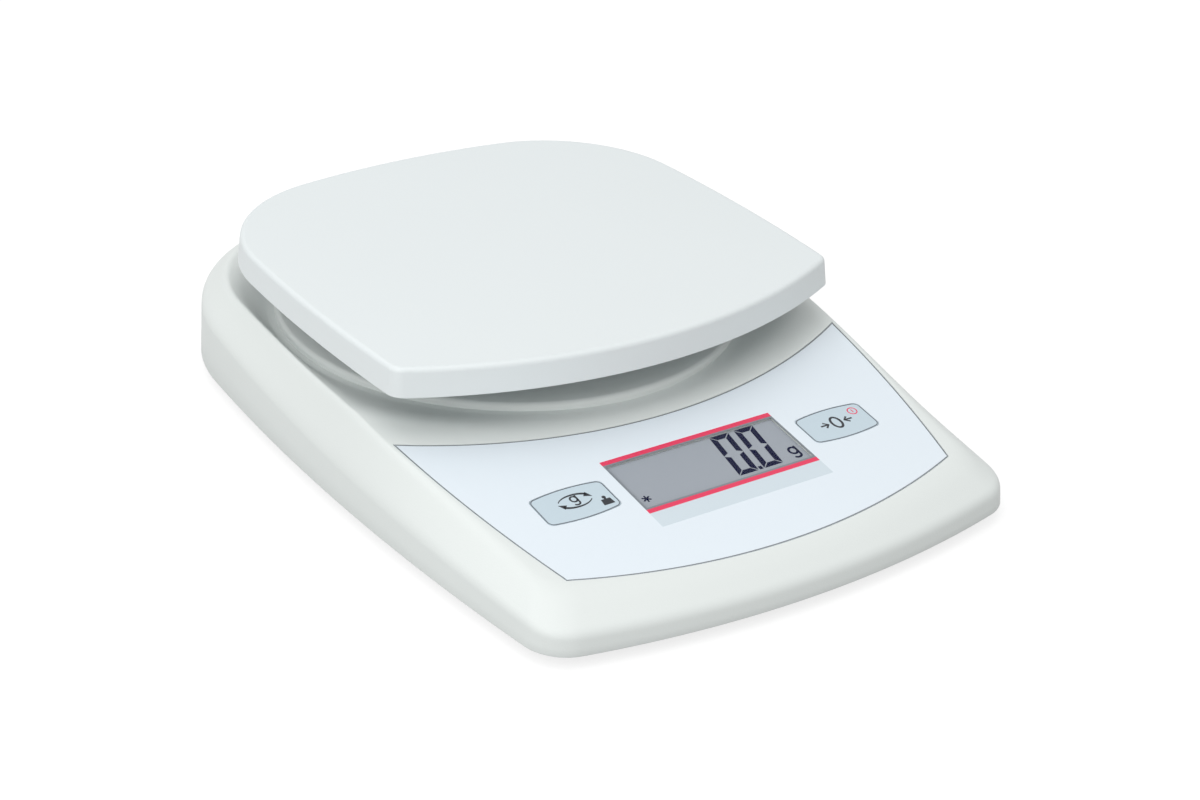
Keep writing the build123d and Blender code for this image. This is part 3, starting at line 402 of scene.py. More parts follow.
# Dark ink for the keys' print, also used as painted shade in the screw heads' cross recesses
dark_print_and_recess_shade = material("dark_print_and_recess_shade", linear(44, 46, 52), rough=0.4, grain=4000, bump=0.02)
window_film = material(
    "window_film", linear(225, 232, 236), rough=0.08, grain=3000, bump=0.01, specular=0.2, alpha=0.015)
display_grey = material(
    "display_grey", linear(156, 162, 170), rough=0.3, grain=5000, bump=0.02, vary=0.012, specular=0.1)
segment_ink = material("segment_ink", linear(6, 8, 50), rough=0.7, grain=4000, bump=0.02, specular=0.0)
frame_plastic = material("frame_plastic", linear(206, 206, 200), rough=0.5, grain=1500, bump=0.1)
strip_rubber = material("strip_rubber", linear(196, 132, 140), rough=0.7, grain=6000, bump=0.4, vary=0.12)
board_green = material("board_green", linear(22, 92, 52), rough=0.35, grain=700, bump=0.25, vary=0.12)
chip_black = material("chip_black", linear(26, 26, 28), rough=0.6, grain=3500, bump=0.2, vary=0.1)
can_steel = material("can_steel", linear(196, 197, 198), rough=0.28, metal=1.0, grain=1800, bump=0.06)
switch_black = material("switch_black", linear(34, 34, 37), rough=0.5, grain=2500, bump=0.15)
socket_nylon = material("socket_nylon", linear(226, 222, 208), rough=0.45, grain=1800, bump=0.08)
screw_zinc = material(
    "screw_zinc", linear(188, 190, 193), rough=0.3, metal=1.0, grain=2600, bump=0.12, vary=0.06)
beam_alloy = material(
    "beam_alloy", linear(200, 202, 205), rough=0.36, metal=1.0, grain=3200, bump=0.18, vary=0.05)
gauge_foil = material("gauge_foil", linear(204, 138, 62), rough=0.35, grain=2400, bump=0.2, vary=0.1)
sheet_steel = material(
    "sheet_steel", linear(186, 188, 191), rough=0.4, metal=1.0, grain=1500, bump=0.15, vary=0.06)
support_grey = material("support_grey", linear(92, 95, 99), rough=0.5, grain=1900, bump=0.14, vary=0.04)
pad_rubber = material("pad_rubber", linear(42, 42, 45), rough=0.82, grain=2400, bump=0.5, vary=0.1)
foot_rubber = material("foot_rubber", linear(58, 59, 62), rough=0.85, grain=2400, bump=0.5, vary=0.08)
cell_wrap = material("cell_wrap", linear(40, 52, 92), rough=0.26, grain=500, bump=0.03, vary=0.05)
contact_nickel = material(
    "contact_nickel", linear(206, 205, 198), rough=0.25, metal=1.0, grain=2600, bump=0.08)
label_paper = material("label_paper", linear(214, 216, 218), rough=0.38, grain=3000, bump=0.04, vary=0.01)
lock_grey = material("lock_grey", linear(74, 77, 81), rough=0.5, grain=2000, bump=0.14, vary=0.04)
lead_vinyl = material("lead_vinyl", linear(38, 38, 42), rough=0.45, grain=1600, bump=0.1, vary=0.06)
inlet_black = material("inlet_black", linear(28, 28, 30), rough=0.42, grain=2400, bump=0.1, vary=0.05)

node_looks = {
    "bottom_housing": base_plastic, "battery_door": base_plastic, "weighing_pan": pan_plastic,
    "pan_support": support_grey, "pan_pads": pad_rubber, "load_cell": beam_alloy,
    "strain_gauges": gauge_foil, "lower_spacer": beam_alloy, "upper_spacer": beam_alloy,
    "pan_carrier": sheet_steel, "load_cell_screws": screw_zinc, "carrier_screws": screw_zinc,
    "support_screws": screw_zinc, "overload_stop": screw_zinc, "control_overlay": film,
    "display_window": window_film, "display_glass": display_grey, "display_frame": frame_plastic,
    "contact_strips": strip_rubber, "main_board": board_green, "processor_chip": chip_black,
    "converter_chip": chip_black, "crystal": can_steel, "lead_sockets": socket_nylon,
    "board_screws": screw_zinc, "unit_key": key_film, "zero_key": key_film,
    "unit_switch": switch_black, "zero_switch": switch_black, "battery_1": cell_wrap,
    "battery_2": cell_wrap, "battery_3": cell_wrap, "battery_plates": contact_nickel,
    "battery_springs": contact_nickel, "rubber_foot_1": foot_rubber, "rubber_foot_2": foot_rubber,
    "rubber_foot_3": foot_rubber, "rubber_foot_4": foot_rubber, "housing_screws": screw_zinc,
    "transport_lock": lock_grey, "lock_clip": contact_nickel, "power_inlet": inlet_black,
    "inlet_pin": contact_nickel, "cell_lead": lead_vinyl, "battery_lead": lead_vinyl,
    "inlet_lead": lead_vinyl, "top_housing": shell_plastic,
}
for node, look in node_looks.items():
    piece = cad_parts[node]
    if not piece.material_slots:
        piece.data.materials.append(look)
    for place in piece.material_slots:
        place.link = "OBJECT"
        place.material = look


# Top housing
def circle_meet(centre_a, radius_a, centre_b, radius_b, near):
    """Where two circles cross, nearest to a point."""
    a, b, near = np.array(centre_a), np.array(centre_b), np.array(near)
    span = np.linalg.norm(b - a)
    along = (span ** 2 + radius_a ** 2 - radius_b ** 2) / (2 * span)
    across = sqrt(max(radius_a ** 2 - along ** 2, 0.0))
    unit = (b - a) / span
    foot = a + unit * along
    side = np.array([-unit[1], unit[0]]) * across
    return min((foot + side, foot - side), key=lambda p: np.linalg.norm(p - near))


def outline(waist, waist_y, front, front_y, front_bow, front_corner, back, back_y, back_bow, back_corner):
    """Four bowed sides with rounded corners, as points round the whole form."""
    front_radius = (front ** 2 + front_bow ** 2) / (2 * front_bow)
    back_radius = (back ** 2 + back_bow ** 2) / (2 * back_bow)
    circles = [((0, front_y - front_bow + front_radius), front_radius)]
    for x, y in ((front, front_y), (back, back_y)):
        centre = (waist ** 2 - x ** 2 - (y - waist_y) ** 2) / (2 * (waist - x))
        circles.append(((centre, waist_y), waist - centre))
    circles.append(((0, back_y + back_bow - back_radius), back_radius))
    points = []

    def sweep(centre, radius, start, end, count):
        for i in range(count):
            a = start + (end - start) * i / count
            points.append((centre[0] + radius * cos(a), centre[1] + radius * sin(a)))

    def turn(one, two, radius, corner):
        middle = circle_meet(one[0], one[1] - radius, two[0], two[1] - radius, corner)
        angles = [atan2(middle[1] - c[0][1], middle[0] - c[0][0]) for c in (one, two)]
        return middle, angles

    front_middle, front_angles = turn(circles[0], circles[1], front_corner, (front, front_y))
    back_middle, back_angles = turn(circles[2], circles[3], back_corner, (back, back_y))
    sweep(*circles[0], -pi / 2, front_angles[0], front_points)
    sweep(front_middle, front_corner, *front_angles, front_corner_points)
    sweep(*circles[1], front_angles[1], 0, waist_front_points)
    sweep(*circles[2], 0, back_angles[0], waist_back_points)
    sweep(back_middle, back_corner, *back_angles, back_corner_points)
    sweep(*circles[3], back_angles[1], pi / 2, back_points)
    right = np.array(points)
    top = np.array([[0, circles[3][0][1] + back_radius]])
    left = right[::-1] * [-1, 1]
    return np.vstack([right, top, left[:-1]])


def reach(points, angles, inset=0.0):
    """Distance from the hub's axis to an outline along each angle."""
    if inset:
        points = np.array(shrink([tuple(p) for p in points], inset))
    x, y = points[:, 0], points[:, 1] - hub_y
    order = np.argsort(np.arctan2(y, x))
    return np.interp(angles, np.arctan2(y, x)[order], np.hypot(x, y)[order], period=2 * pi)


def circle_reach(radius, angles):
    """Distance from the hub's axis to a circle about the plateau's middle."""
    offset = plateau_y - hub_y
    return offset * np.sin(angles) + np.sqrt(radius ** 2 - (offset * np.cos(angles)) ** 2)


def soft_min(a, b, size):
    """The lower of two heights, with the corner between them rounded."""
    near = np.maximum(size - np.abs(a - b), 0) / size
    return np.minimum(a, b) - near ** 2 * size / 4


def panel_height(y):
    return panel_level + (y - panel_y) * np.tan(panel_slope)


def face_height(y):
    """The lower of the rim and the control panel's face."""
    return np.minimum(rim_level, panel_height(y))


def all_round(value):
    """One value for every ray."""
    return np.full(ray_count, value)


body_points = outline(**body_sides)
rim_points = outline(**rim_sides)
step = np.linalg.norm(np.diff(np.vstack([body_points, body_points[:1]]), axis=0), axis=1)
walked = np.concatenate([[0], np.cumsum(step)])
even = np.linspace(0, walked[-1], ray_count, endpoint=False)
loop_x = np.interp(even, walked, np.append(body_points[:, 0], body_points[0, 0]))
loop_y = np.interp(even, walked, np.append(body_points[:, 1], body_points[0, 1]))
rays = np.arctan2(loop_y - hub_y, loop_x)
foot_reach = reach(body_points, rays)
crease_reach = reach(body_points, rays, skirt_draft)
rim_reach = reach(rim_points, rays)
plateau_reach = circle_reach(plateau_radius, rays)
cove_reach = circle_reach(plateau_radius + valley_floor_width + valley_cove, rays)
crease_y = hub_y + crease_reach * np.sin(rays)
crease_height = foot_stand + skirt_front + skirt_rise * (crease_y + body_length / 2)


def shoulder_height(r):
    return crease_height + (rim_level - crease_height) * (crease_reach - r) / (crease_reach - rim_reach)


def valley_height(r):
    x, y = r * np.cos(rays), hub_y + r * np.sin(rays)
    out = np.hypot(x, y - plateau_y) - plateau_radius - valley_floor_width
    return valley_level + (rim_level - valley_level) * np.clip(out / dish_width, 0, None) ** dish_rise


def top_height(r):
    """The housing's upper surface outside the plateau."""
    y = hub_y + r * np.sin(rays)
    flat = soft_min(np.full_like(r, rim_level), panel_height(y), brow_round)
    return soft_min(flat, valley_height(r), valley_round)


def skin_height(r):
    """The upper surface, turned softly into the shoulder."""
    return soft_min(top_height(r), shoulder_height(r), ridge_round)


# The ridge lies where the shoulder meets the rim or the panel's face
low, high = rim_reach - ridge_search, crease_reach.copy()
for _ in range(ridge_halvings):
    middle = (low + high) / 2
    above = shoulder_height(middle) > face_height(hub_y + middle * np.sin(rays))
    low, high = np.where(above, middle, low), np.where(above, high, middle)
ridge_reach = (low + high) / 2
dish_width = np.minimum(ridge_reach - ridge_inset - plateau_reach - valley_floor_width, widest_dish)

# Rings from the hub's collar out over the plateau, valley, deck and shoulder
collar_top = plateau_level + collar_height
collar_outside = hub_opening + collar_wall
edge_middle = collar_edge * corner_share
fillet_middle = collar_fillet * corner_share
hub_profile = [
    (hub_opening, plateau_level - wall),
    (hub_opening, collar_top - collar_edge),
    (hub_opening + edge_middle, collar_top - edge_middle),
    (hub_opening + collar_edge, collar_top),
    (collar_outside - collar_edge, collar_top),
    (collar_outside - edge_middle, collar_top - edge_middle),
    (collar_outside, collar_top - collar_edge),
    (collar_outside, plateau_level + collar_fillet),
    (collar_outside + fillet_middle, plateau_level + fillet_middle),
    (collar_outside + collar_fillet, plateau_level),
]
rings = [(all_round(r), all_round(z)) for r, z in hub_profile]
flat_start = collar_outside + collar_fillet
for share in plateau_shares:
    r = flat_start + (plateau_reach - plateau_edge - flat_start) * share
    rings.append((r, all_round(plateau_level)))
for i in range(plateau_edge_steps + 1):
    a = radians(90 * i / plateau_edge_steps)
    r = plateau_reach - plateau_edge + plateau_edge * sin(a)
    rings.append((r, all_round(plateau_level - plateau_edge + plateau_edge * cos(a))))
for out in valley_steps:
    r = plateau_reach + out + plateau_clearance
    rings.append((r, np.minimum(top_height(r), plateau_level - plateau_edge)))
for share in cove_shares:
    r = plateau_reach + valley_floor_width + (cove_reach - plateau_reach - valley_floor_width) * share
    rings.append((r, skin_height(r)))
inside = np.minimum(ridge_band, inner_band_share * (ridge_reach - cove_reach))
outside = np.minimum(ridge_band, outer_band_share * (crease_reach - ridge_reach))
for share in deck_shares:
    r = cove_reach + (ridge_reach - inside - cove_reach) * share
    rings.append((r, skin_height(r)))
for share in ridge_shares:
    r = ridge_reach + share * (inside if share < 0 else outside)
    rings.append((r, skin_height(r)))
crease_in = np.minimum(crease_round, outer_band_share * (crease_reach - ridge_reach))
last = ridge_reach + outside
for share in shoulder_shares:
    r = last + (crease_reach - crease_in - last) * share
    rings.append((r, skin_height(r)))

# Round the crease in one curve, and down the skirt to the foot
from_r, from_z = rings[-1]
drop = crease_round / (crease_height - foot_stand)
to_r = crease_reach + skirt_draft * drop
to_z = crease_height - crease_round
for t in crease_shares:
    r = (1 - t) ** 2 * from_r + 2 * t * (1 - t) * crease_reach + t ** 2 * to_r
    z = (1 - t) ** 2 * from_z + 2 * t * (1 - t) * crease_height + t ** 2 * to_z
    rings.append((r, z))
for share in skirt_shares:
    rings.append((to_r + (foot_reach - to_r) * share, to_z + (foot_stand + foot_edge - to_z) * share))
rings.append((foot_reach - foot_edge_middle, all_round(foot_stand + foot_edge_middle)))
rings.append((foot_reach - foot_edge, all_round(foot_stand)))

# Back inside, a wall under the outside
rings.append((reach(body_points, rays, wall), all_round(foot_stand)))
inner_crease_reach = reach(body_points, rays, skirt_draft + wall + inner_crease_inset)
rings.append((inner_crease_reach, crease_height - inner_crease_drop))
inner_ridge_reach = ridge_reach - wall - inner_ridge_inset
rings.append((inner_ridge_reach, face_height(hub_y + ridge_reach * np.sin(rays)) - wall - inner_ridge_drop))
for share in inner_shares:
    r = hub_opening + (inner_ridge_reach - hub_opening) * share
    rings.append((r, np.where(r < plateau_reach, plateau_level, top_height(r)) - wall))

verts = []
for r, z in rings:
    x, y = r * np.cos(rays), hub_y + r * np.sin(rays)
    verts += list(np.stack([x * MM, y * MM, z * MM], axis=1))
faces = []
for k in range(len(rings)):
    here, after = k * ray_count, ((k + 1) % len(rings)) * ray_count
    for i in range(ray_count):
        j = (i + 1) % ray_count
        faces.append((here + i, here + j, after + j, after + i))
housing = new_piece("housing_shell", verts, faces, shell_plastic, "housing", "housing")


def cut(piece, name, verts, faces):
    """Take a closed form out of a piece."""
    mesh = bpy.data.meshes.new(name)
    mesh.from_pydata(verts, [], faces)
    work = bmesh.new()
    work.from_mesh(mesh)
    bmesh.ops.recalc_face_normals(work, faces=work.faces)
    work.to_mesh(mesh)
    work.free()
    tool = bpy.data.objects.new(name, mesh)
    bpy.context.scene.collection.objects.link(tool)
    change = piece.modifiers.new(name, "BOOLEAN")
    change.operation = "DIFFERENCE"
    change.solver = "EXACT"
    change.object = tool
    bpy.context.view_layer.update()
    done = bpy.data.meshes.new_from_object(piece.evaluated_get(bpy.context.evaluated_depsgraph_get()))
    piece.modifiers.remove(change)
    piece.data = done
    bpy.data.objects.remove(tool)


def back_point(x, z, n):
    """A point on the power inlet's face, n behind it."""
    return ((inlet_x + x) * MM, (inlet_face_y + n) * MM, (inlet_level + z) * MM)


half_window = (display_width / 2 - display_ledge, display_height / 2 - display_ledge)
key_half = (key_width / 2, key_height / 2)
key_xs = (-key_x, key_x)
stem_width, stem_height = stem_hole

# How far the cutting forms stand out of the panel and reach through it
cut_out = 3
cut_through = -9
inlet_cut = 12
inlet_steps = 64
window_loop = rectangle(-half_window[0], -half_window[1], *half_window)
key_loops = [bowed_loop(*key_half, key_corner, key_bow, x=x) for x in key_xs]
stem_loops = [
    rectangle(x - stem_width / 2, -stem_height / 2, x + stem_width / 2, stem_height / 2) for x in key_xs
]
pocket_loop = disc(0, 0, inlet_pocket_radius, inlet_steps)
hole_loop = disc(0, 0, inlet_hole_radius, inlet_steps)
cut(housing, "recess", *slab([overlay_loop()], panel_point, -overlay_recess, cut_out))
cut(housing, "window_hole", *slab([window_loop], panel_point, cut_through, cut_out))
cut(housing, "key_pockets", *slab(key_loops, panel_point, -key_pocket, cut_out))
cut(housing, "stem_holes", *slab(stem_loops, panel_point, cut_through, cut_out))
cut(housing, "inlet_pocket", *slab([pocket_loop], back_point, 0, inlet_cut))
cut(housing, "inlet_hole", *slab([hole_loop], back_point, -inlet_cut, inlet_cut))
for polygon in housing.data.polygons:
    polygon.use_smooth = True
housing.data.set_sharp_from_angle(angle=sharpest_round)
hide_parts("top_housing")


# Printing on the panel
def printed(name, parts, look, body="housing", slot="overlay", level=overlay_top):
    """Ink on the panel or on a key: flat closed loops, each a hair thick."""
    verts, faces = slab(parts, panel_point, level - ink_sink, level + ink)
    new_piece(name, verts, faces, look, body, slot)


def printed_band(name, outer, inner, look, body="housing", slot="overlay"):
    """A printed line between two loops of as many points."""
    verts, faces = band(outer, inner, panel_point, overlay_top - ink_sink, overlay_top + ink)
    new_piece(name, verts, faces, look, body, slot)


def letter_g(x, v, height, width):
    """A plain g as strokes, centred at a place on the panel."""
    bowl_stretch = 1.1
    radius = 0.27 * height
    bowl = v + 0.5 * height - bowl_stretch * radius
    tail = v - 0.24 * height
    return [
        stroke(arc(x, bowl, radius, 88, 272, flatten=bowl_stretch), width),
        stroke(arc(x, bowl, radius, -92, 92, flatten=bowl_stretch), width),
        stroke([(x + radius, bowl + bowl_stretch * radius + width / 2), (x + radius, tail)], width),
        stroke(arc(x, tail, radius, 0, -150, flatten=0.85), width),
    ]


# Bars, strip, and thin dark bands of painted shade round the inside of the display window and along the
# film's edge; a pair of insets is a line's outer and inner edge
bar_gap = 0.02
bar_height = 1.4
strip_end = -15.4
window_shade_width = 0.15
film_shade_insets = (0.14, 0.42)
key_line = (0.16, 0.42)
half_display = display_width / 2
bar_low = display_height / 2 + bar_gap
printed("red_bars", [
    rectangle(-half_display, bar_low, half_display, bar_low + bar_height),
    rectangle(-half_display, -bar_low - bar_height, half_display, -bar_low),
], red_print)
printed("pale_strip", [rectangle(-half_display, strip_end, half_display, -bar_low - bar_height)], strip_print)
line_x, line_v = half_window[0] - window_shade_width, half_window[1] - window_shade_width
window_outside = rectangle(-half_display, -display_height / 2, half_display, display_height / 2)
# Painted shade: a grey band round the inside of the display window, standing for the shadow at its edge over
# the ledge
printed_band("window_inner_shade", window_outside, rectangle(-line_x, -line_v, line_x, line_v), window_shade_grey,
             slot="window")
# Painted shade: a thin dark line along the film's edge stands for the shadow in the gap round its recess
printed_band("film_gap_shade", overlay_loop(film_shade_insets[0]), overlay_loop(film_shade_insets[1]), film_shade_grey)

# Display: seven-segment figures that lean to the right
digit_slant = 0.13
segment_width = 1.5
segment_gap = 0.17
digit_low, digit_height, digit_width = -6.8, 15.0, 5.5
digit_lefts = (3.6, 10.8)
point_gap, point_width, point_height = 0.45, 1.0, 1.15
unit_place = (21.3, -4.8)
unit_height, unit_stroke = 3.9, 0.62
steady_x, steady_v = -21.5, -4.9
steady_reach, steady_stroke = 1.15, 0.42
steady_step = 0.006
lens_gap, lens_corner, lens_sink = 0.1, 0.3, 0.01


def nought_segments(left):
    """The six outer segments of one figure, mitred, and leaned."""
    w, g = segment_width, segment_gap
    low, right, top = digit_low, left + digit_width, digit_low + digit_height
    middle = low + digit_height / 2
    above, below = middle + g / 2, middle - g / 2
    upper, lower = middle + w / 2 + g / 2, middle - w / 2 - g / 2
    upright = [
        [(left + g, top), (right - g, top), (right - w - g, top - w), (left + w + g, top - w)],
        [(right, top - g), (right, above), (right - w, upper), (right - w, top - w - g)],
        [(right, low + g), (right - w, low + w + g), (right - w, lower), (right, below)],
        [(left + g, low), (left + w + g, low + w), (right - w - g, low + w), (right - g, low)],
        [(left, low + g), (left, below), (left + w, lower), (left + w, low + w + g)],
        [(left, top - g), (left + w, top - w - g), (left + w, upper), (left, above)],
    ]
    return [[(x + digit_slant * (v - low), v) for x, v in segment] for segment in upright]


lens_loop = bowed_loop(half_window[0] - lens_gap, half_window[1] - lens_gap, lens_corner, 0.0)
lens = slab([lens_loop], panel_point, glass_top - lens_sink, lens_top)
new_piece("display_lens", *lens, display_grey, "housing", "display")
lit = []
for left in digit_lefts:
    lit += nought_segments(left)
point_x = digit_lefts[0] + digit_width + point_gap
lit.append(rectangle(point_x, digit_low, point_x + point_width, digit_low + point_height))
printed("lit_segments", lit, segment_ink, slot="display", level=lens_top)
unit_strokes = letter_g(*unit_place, unit_height, unit_stroke)
printed("display_unit", unit_strokes, segment_ink, slot="display", level=lens_top)
for i, turn in enumerate((90, 30, -30)):
    a = radians(turn)
    dx, dv = steady_reach * cos(a), steady_reach * sin(a)
    arm = stroke([(steady_x - dx, steady_v - dv), (steady_x + dx, steady_v + dv)], steady_stroke)
    printed(f"stable_mark_{i + 1}", [arm], segment_ink, slot="display", level=lens_top + i * steady_step)

# Keys: an outline just inside each edge, and plain symbols
for name, x in zip(("unit_key", "zero_key"), key_xs):
    outer, inner = [bowed_loop(*key_half, key_corner, key_bow, inset=inset, x=x) for inset in key_line]
    printed_band(name + "_outline", outer, inner, key_outline, name, "key")


def arrow_head(x, v, direction, size):
    """A solid arrow head at a place, pointing along an angle in degrees."""
    wing_share, wing_turn = 0.62, 2.1
    a = radians(direction)
    tip = (x + size * cos(a), v + size * sin(a))
    left = (x + wing_share * size * cos(a + wing_turn), v + wing_share * size * sin(a + wing_turn))
    right = (x + wing_share * size * cos(a - wing_turn), v + wing_share * size * sin(a - wing_turn))
    return [tip, left, right]


# Unit key: two curved arrows round a letter, and a small weight
unit_x, unit_v = -key_x + 0.4, 0.7
turn_radius, turn_flatten = 4.3, 0.5
turn_thin, turn_thick = 0.2, 0.75
head_x, head_v, head_size = 3.5, 0.95, 1.5
letter_height, letter_stroke = 3.1, 0.46
turning = [
    tapered(arc(unit_x, unit_v, turn_radius, start, end, flatten=turn_flatten), turn_thin, turn_thick)
    for start, end in ((160, 30), (-20, -150))
]
heads = [
    arrow_head(unit_x + head_x, unit_v + head_v, -42, head_size),
    arrow_head(unit_x - head_x, unit_v - head_v, 138, head_size),
]
printed("unit_key_arrows", turning + heads, dark_print_and_recess_shade, "unit_key", "key")
printed("unit_key_letter", letter_g(unit_x, unit_v, letter_height, letter_stroke), dark_print_and_recess_shade,
        "unit_key", "key")
weight_x, weight_v = -key_x + 7.1, -2.2
weight_low, weight_low_half = -1.3, 1.45
weight_high, weight_high_half = 0.7, 1.2
knob_rise, knob_radius, knob_steps = 1.35, 0.5, 20
neck_low, neck_high, neck_half = 0.65, 1.1, 0.28
printed("unit_key_weight", [
    [
        (weight_x - weight_low_half, weight_v + weight_low),
        (weight_x + weight_low_half, weight_v + weight_low),
        (weight_x + weight_high_half, weight_v + weight_high),
        (weight_x - weight_high_half, weight_v + weight_high),
    ],
    disc(weight_x, weight_v + knob_rise, knob_radius, knob_steps),
    rectangle(weight_x - neck_half, weight_v + neck_low, weight_x + neck_half, weight_v + neck_high),
], dark_print_and_recess_shade, "unit_key", "key")

# Zero key: a nought between two arrows, and the power sign
zero_x, zero_v = key_x, 0.2
nought_outside, nought_inside = (1.6, 2.35), (0.96, 1.72)
shaft_far, shaft_near, shaft_width = 4.7, 2.5, 0.5
wing_far, wing_rise, wing_tip, wing_width = 3.6, 1.0, 2.4, 0.52
printed_band("zero_key_figure", oval(zero_x, zero_v, *nought_outside), oval(zero_x, zero_v, *nought_inside),
             dark_print_and_recess_shade, "zero_key", "key")
pointing = []
for side in (-1, 1):
    shaft = [(zero_x + side * shaft_far, zero_v), (zero_x + side * shaft_near, zero_v)]
    wing_x, tip_x = zero_x + side * wing_far, zero_x + side * wing_tip
    wings = [(wing_x, zero_v + wing_rise), (tip_x, zero_v), (wing_x, zero_v - wing_rise)]
    pointing += [stroke(shaft, shaft_width), stroke(wings, wing_width)]
printed("zero_key_arrows", pointing, dark_print_and_recess_shade, "zero_key", "key")
power_x, power_v = key_x + 6.6, 2.4
power_outside, power_inside = 1.35, 1.06
mark_half, mark_width = 0.6, 0.26
power_outer, power_inner = [disc(power_x, power_v, radius) for radius in (power_outside, power_inside)]
printed_band("zero_key_power_ring", power_outer, power_inner, red_print, "zero_key", "key")
power_mark = stroke([(power_x, power_v - mark_half), (power_x, power_v + mark_half)], mark_width)
printed("zero_key_power_mark", [power_mark], red_print, "zero_key", "key")


# Underside details
def screw_point(x, y, n):
    """A point under the screw heads, n below them."""
    return (x * MM, y * MM, (screw_level - n) * MM)


def floor_point(x, y, n):
    """A point n above the floor."""
    return (x * MM, y * MM, n * MM)


def cross_recess_shade(name, places):
    """Painted shade for a cross recess: a thin dark cross on each screw head stands for the shaded hollow."""
    half, width = 1.35, 0.55
    along_thickness, across_thickness = 0.01, 0.013
    parts = []
    for x, y in places:
        along = rectangle(x - half, y - width / 2, x + half, y + width / 2)
        across = rectangle(x - width / 2, y - half, x + width / 2, y + half)
        parts.append(slab([along], screw_point, 0.0, along_thickness))
        parts.append(slab([across], screw_point, 0.0, across_thickness))
    new_piece(name, *merge(*parts), dark_print_and_recess_shade, "housing", "screw")


screw_level = foot_stand + 0.15
housing_places = [(side * x, y) for x, y in ((56, -56), (61.5, 10), (38, 80)) for side in (-1, 1)]
cell_places = [(0, -10), (0, -3)]
# Painted shade: dark crosses stand for the shaded recesses in the screw heads
cross_recess_shade("housing_screw_cross_shade", housing_places)
cross_recess_shade("cell_screw_cross_shade", cell_places)

foot_places = [(-50, -79), (50, -79), (-46, 66), (46, 66)]
ring_radii = (1.6, 3.2, 4.8)
ring_half, ring_relief, ring_steps = 0.28, 0.06, 48
for i, (x, y) in enumerate(foot_places):
    parts = []
    for radius in ring_radii:
        outer = disc(x, y, radius + ring_half, ring_steps)
        inner = disc(x, y, radius - ring_half, ring_steps)
        parts.append(band(outer, inner, floor_point, 0.0, ring_relief))
    new_piece(f"foot_rings_{i + 1}", *merge(*parts), pad_rubber, "housing", "foot")

label_half, label_corner, label_y = (30.0, 12.0), 1.5, -52.0
label_sink, label_relief = 0.01, 0.08
label = [bowed_loop(*label_half, label_corner, 0.0, v=label_y)]
new_piece("blank_label", *slab(label, base_point, -label_sink, label_relief), label_paper, "housing",
          "housing")

door_x, door_back = 30.6, 54.85
grip_half, grip_width, grip_y = 9, 0.5, door_back - 14
grip_steps = (-2.4, -1.2, 0, 1.2, 2.4)
grip_sink, grip_depth = 0.48, 0.05
grips = [
    stroke([(door_x - grip_half, grip_y + step), (door_x + grip_half, grip_y + step)], grip_width)
    for step in grip_steps
]
new_piece("door_grips", *slab(grips, base_point, -grip_sink, -grip_depth), base_plastic, "battery_door",
          "housing")
tip_y, wings_y, wings_half = door_back - 4.2, door_back - 8.0, 2.6
arrow_sink, arrow_relief = 0.02, 0.12
arrow = [[(door_x, tip_y), (door_x - wings_half, wings_y), (door_x + wings_half, wings_y)]]
new_piece("door_arrow", *slab(arrow, base_point, -arrow_sink, arrow_relief), base_plastic, "battery_door",
          "housing")


# Stage, light and camera
def seen_directly(nodes, links):
    """An output that is 1 for camera, glossy and transmission rays."""
    path = nodes.new("ShaderNodeLightPath")
    seen = path.outputs["Is Camera Ray"]
    for kind in ("Is Glossy Ray", "Is Transmission Ray"):
        larger = nodes.new("ShaderNodeMath")
        larger.operation = "MAXIMUM"
        links.new(seen, larger.inputs[0])
        links.new(path.outputs[kind], larger.inputs[1])
        seen = larger.outputs[0]
    return seen


def grey_surface(nodes, tone):
    """A matte grey shader."""
    shader = nodes.new("ShaderNodeBsdfDiffuse")
    shader.inputs["Color"].default_value = (tone, tone, tone, 1)
    return shader


def floor_material():
    """White with a weak shadow where it is seen, and plain grey for the light that it sends back."""
    shadow_tone, glow_strength, plain_tone = 0.30, 0.76, 0.42
    look = bpy.data.materials.new("floor_look")
    look.use_nodes = True
    nodes, links = look.node_tree.nodes, look.node_tree.links
    nodes.clear()
    out = nodes.new("ShaderNodeOutputMaterial")
    matte = grey_surface(nodes, shadow_tone)
    plain = grey_surface(nodes, plain_tone)
    glow = nodes.new("ShaderNodeEmission")
    glow.inputs["Color"].default_value = (1, 1, 1, 1)
    glow.inputs["Strength"].default_value = glow_strength
    white = nodes.new("ShaderNodeAddShader")
    choose = nodes.new("ShaderNodeMixShader")
    links.new(seen_directly(nodes, links), choose.inputs["Fac"])
    links.new(matte.outputs[0], white.inputs[0])
    links.new(glow.outputs[0], white.inputs[1])
    links.new(plain.outputs[0], choose.inputs[1])
    links.new(white.outputs[0], choose.inputs[2])
    links.new(choose.outputs[0], out.inputs["Surface"])
    return look


floor_mesh = bpy.data.meshes.new("floor")
floor_half = 4.0
floor_corners = [(x, y, 0) for x, y in rectangle(-floor_half, -floor_half, floor_half, floor_half)]
floor_mesh.from_pydata(floor_corners, [], [(0, 1, 2, 3)])
floor_mesh.materials.append(floor_material())
floor = bpy.data.objects.new("floor", floor_mesh)
bpy.context.scene.collection.objects.link(floor)

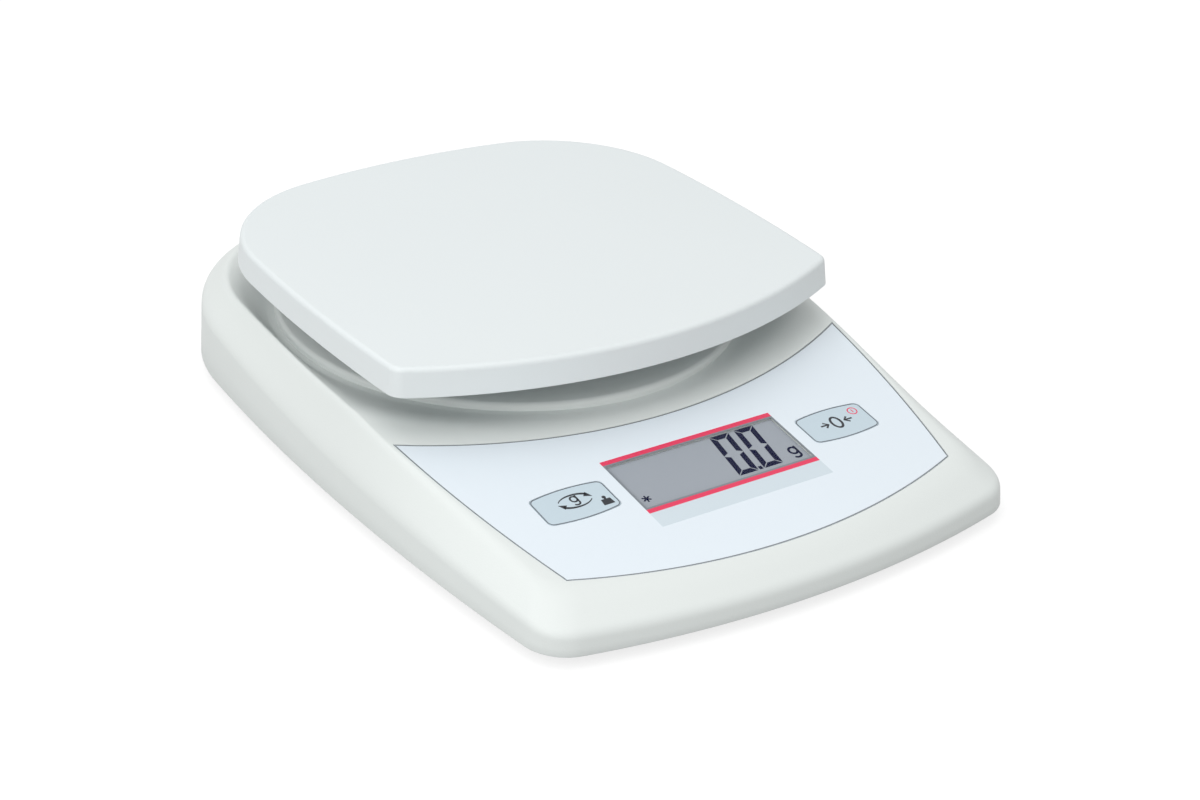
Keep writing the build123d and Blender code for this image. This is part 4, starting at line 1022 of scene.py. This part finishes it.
# The world is white to the camera and lights the object more weakly
world = bpy.data.worlds.new("studio")
bpy.context.scene.world = world
world.use_nodes = True
nodes, links = world.node_tree.nodes, world.node_tree.links
sky = nodes["Background"]
sky.inputs["Color"].default_value = (1, 1, 1, 1)
path = nodes.new("ShaderNodeLightPath")
level = nodes.new("ShaderNodeMapRange")
level.inputs["To Min"].default_value = 0.69
level.inputs["To Max"].default_value = 1.0
links.new(path.outputs["Is Camera Ray"], level.inputs["Value"])
links.new(level.outputs["Result"], sky.inputs["Strength"])


def lamp(name, place, size, power):
    """A square soft box aimed at the middle of the object."""
    target = Vector((0, 0, 0.02))
    data = bpy.data.lights.new(name, "AREA")
    data.shape = "SQUARE"
    data.size = size
    data.energy = power
    holder = bpy.data.objects.new(name, data)
    bpy.context.scene.collection.objects.link(holder)
    holder.location = place
    holder.rotation_euler = (target - Vector(place)).to_track_quat("-Z", "Y").to_euler()


lamp("overhead", (-0.2, 0.1, 1.1), size=1.0, power=3.4)
lamp("left_high", (-0.85, -0.45, 0.66), size=0.9, power=5.2)

# The camera matches the photograph
camera_target = Vector((-6.27, -25.23, 18.0)) * MM
camera_azimuth = radians(-35.59)
camera_elevation = radians(27.91)
camera_roll = radians(2.76)
camera_distance = 577.56 * MM
back = Vector((
    sin(camera_azimuth) * cos(camera_elevation),
    -cos(camera_azimuth) * cos(camera_elevation),
    sin(camera_elevation),
))
right = Vector((0, 0, 1)).cross(back).normalized()
up = back.cross(right)
rolled_right = right * cos(camera_roll) + up * sin(camera_roll)
rolled_up = up * cos(camera_roll) - right * sin(camera_roll)
data = bpy.data.cameras.new("camera")
data.lens = 72.0
data.sensor_width = 36.0
data.sensor_fit = "HORIZONTAL"
data.clip_start = 0.01
camera = bpy.data.objects.new("camera", data)
bpy.context.scene.collection.objects.link(camera)
facing = Matrix((rolled_right, rolled_up, back)).transposed().to_4x4()
camera.matrix_world = Matrix.Translation(camera_target + back * camera_distance) @ facing
bpy.context.scene.camera = camera
bpy.context.scene.view_settings.view_transform = "Standard"
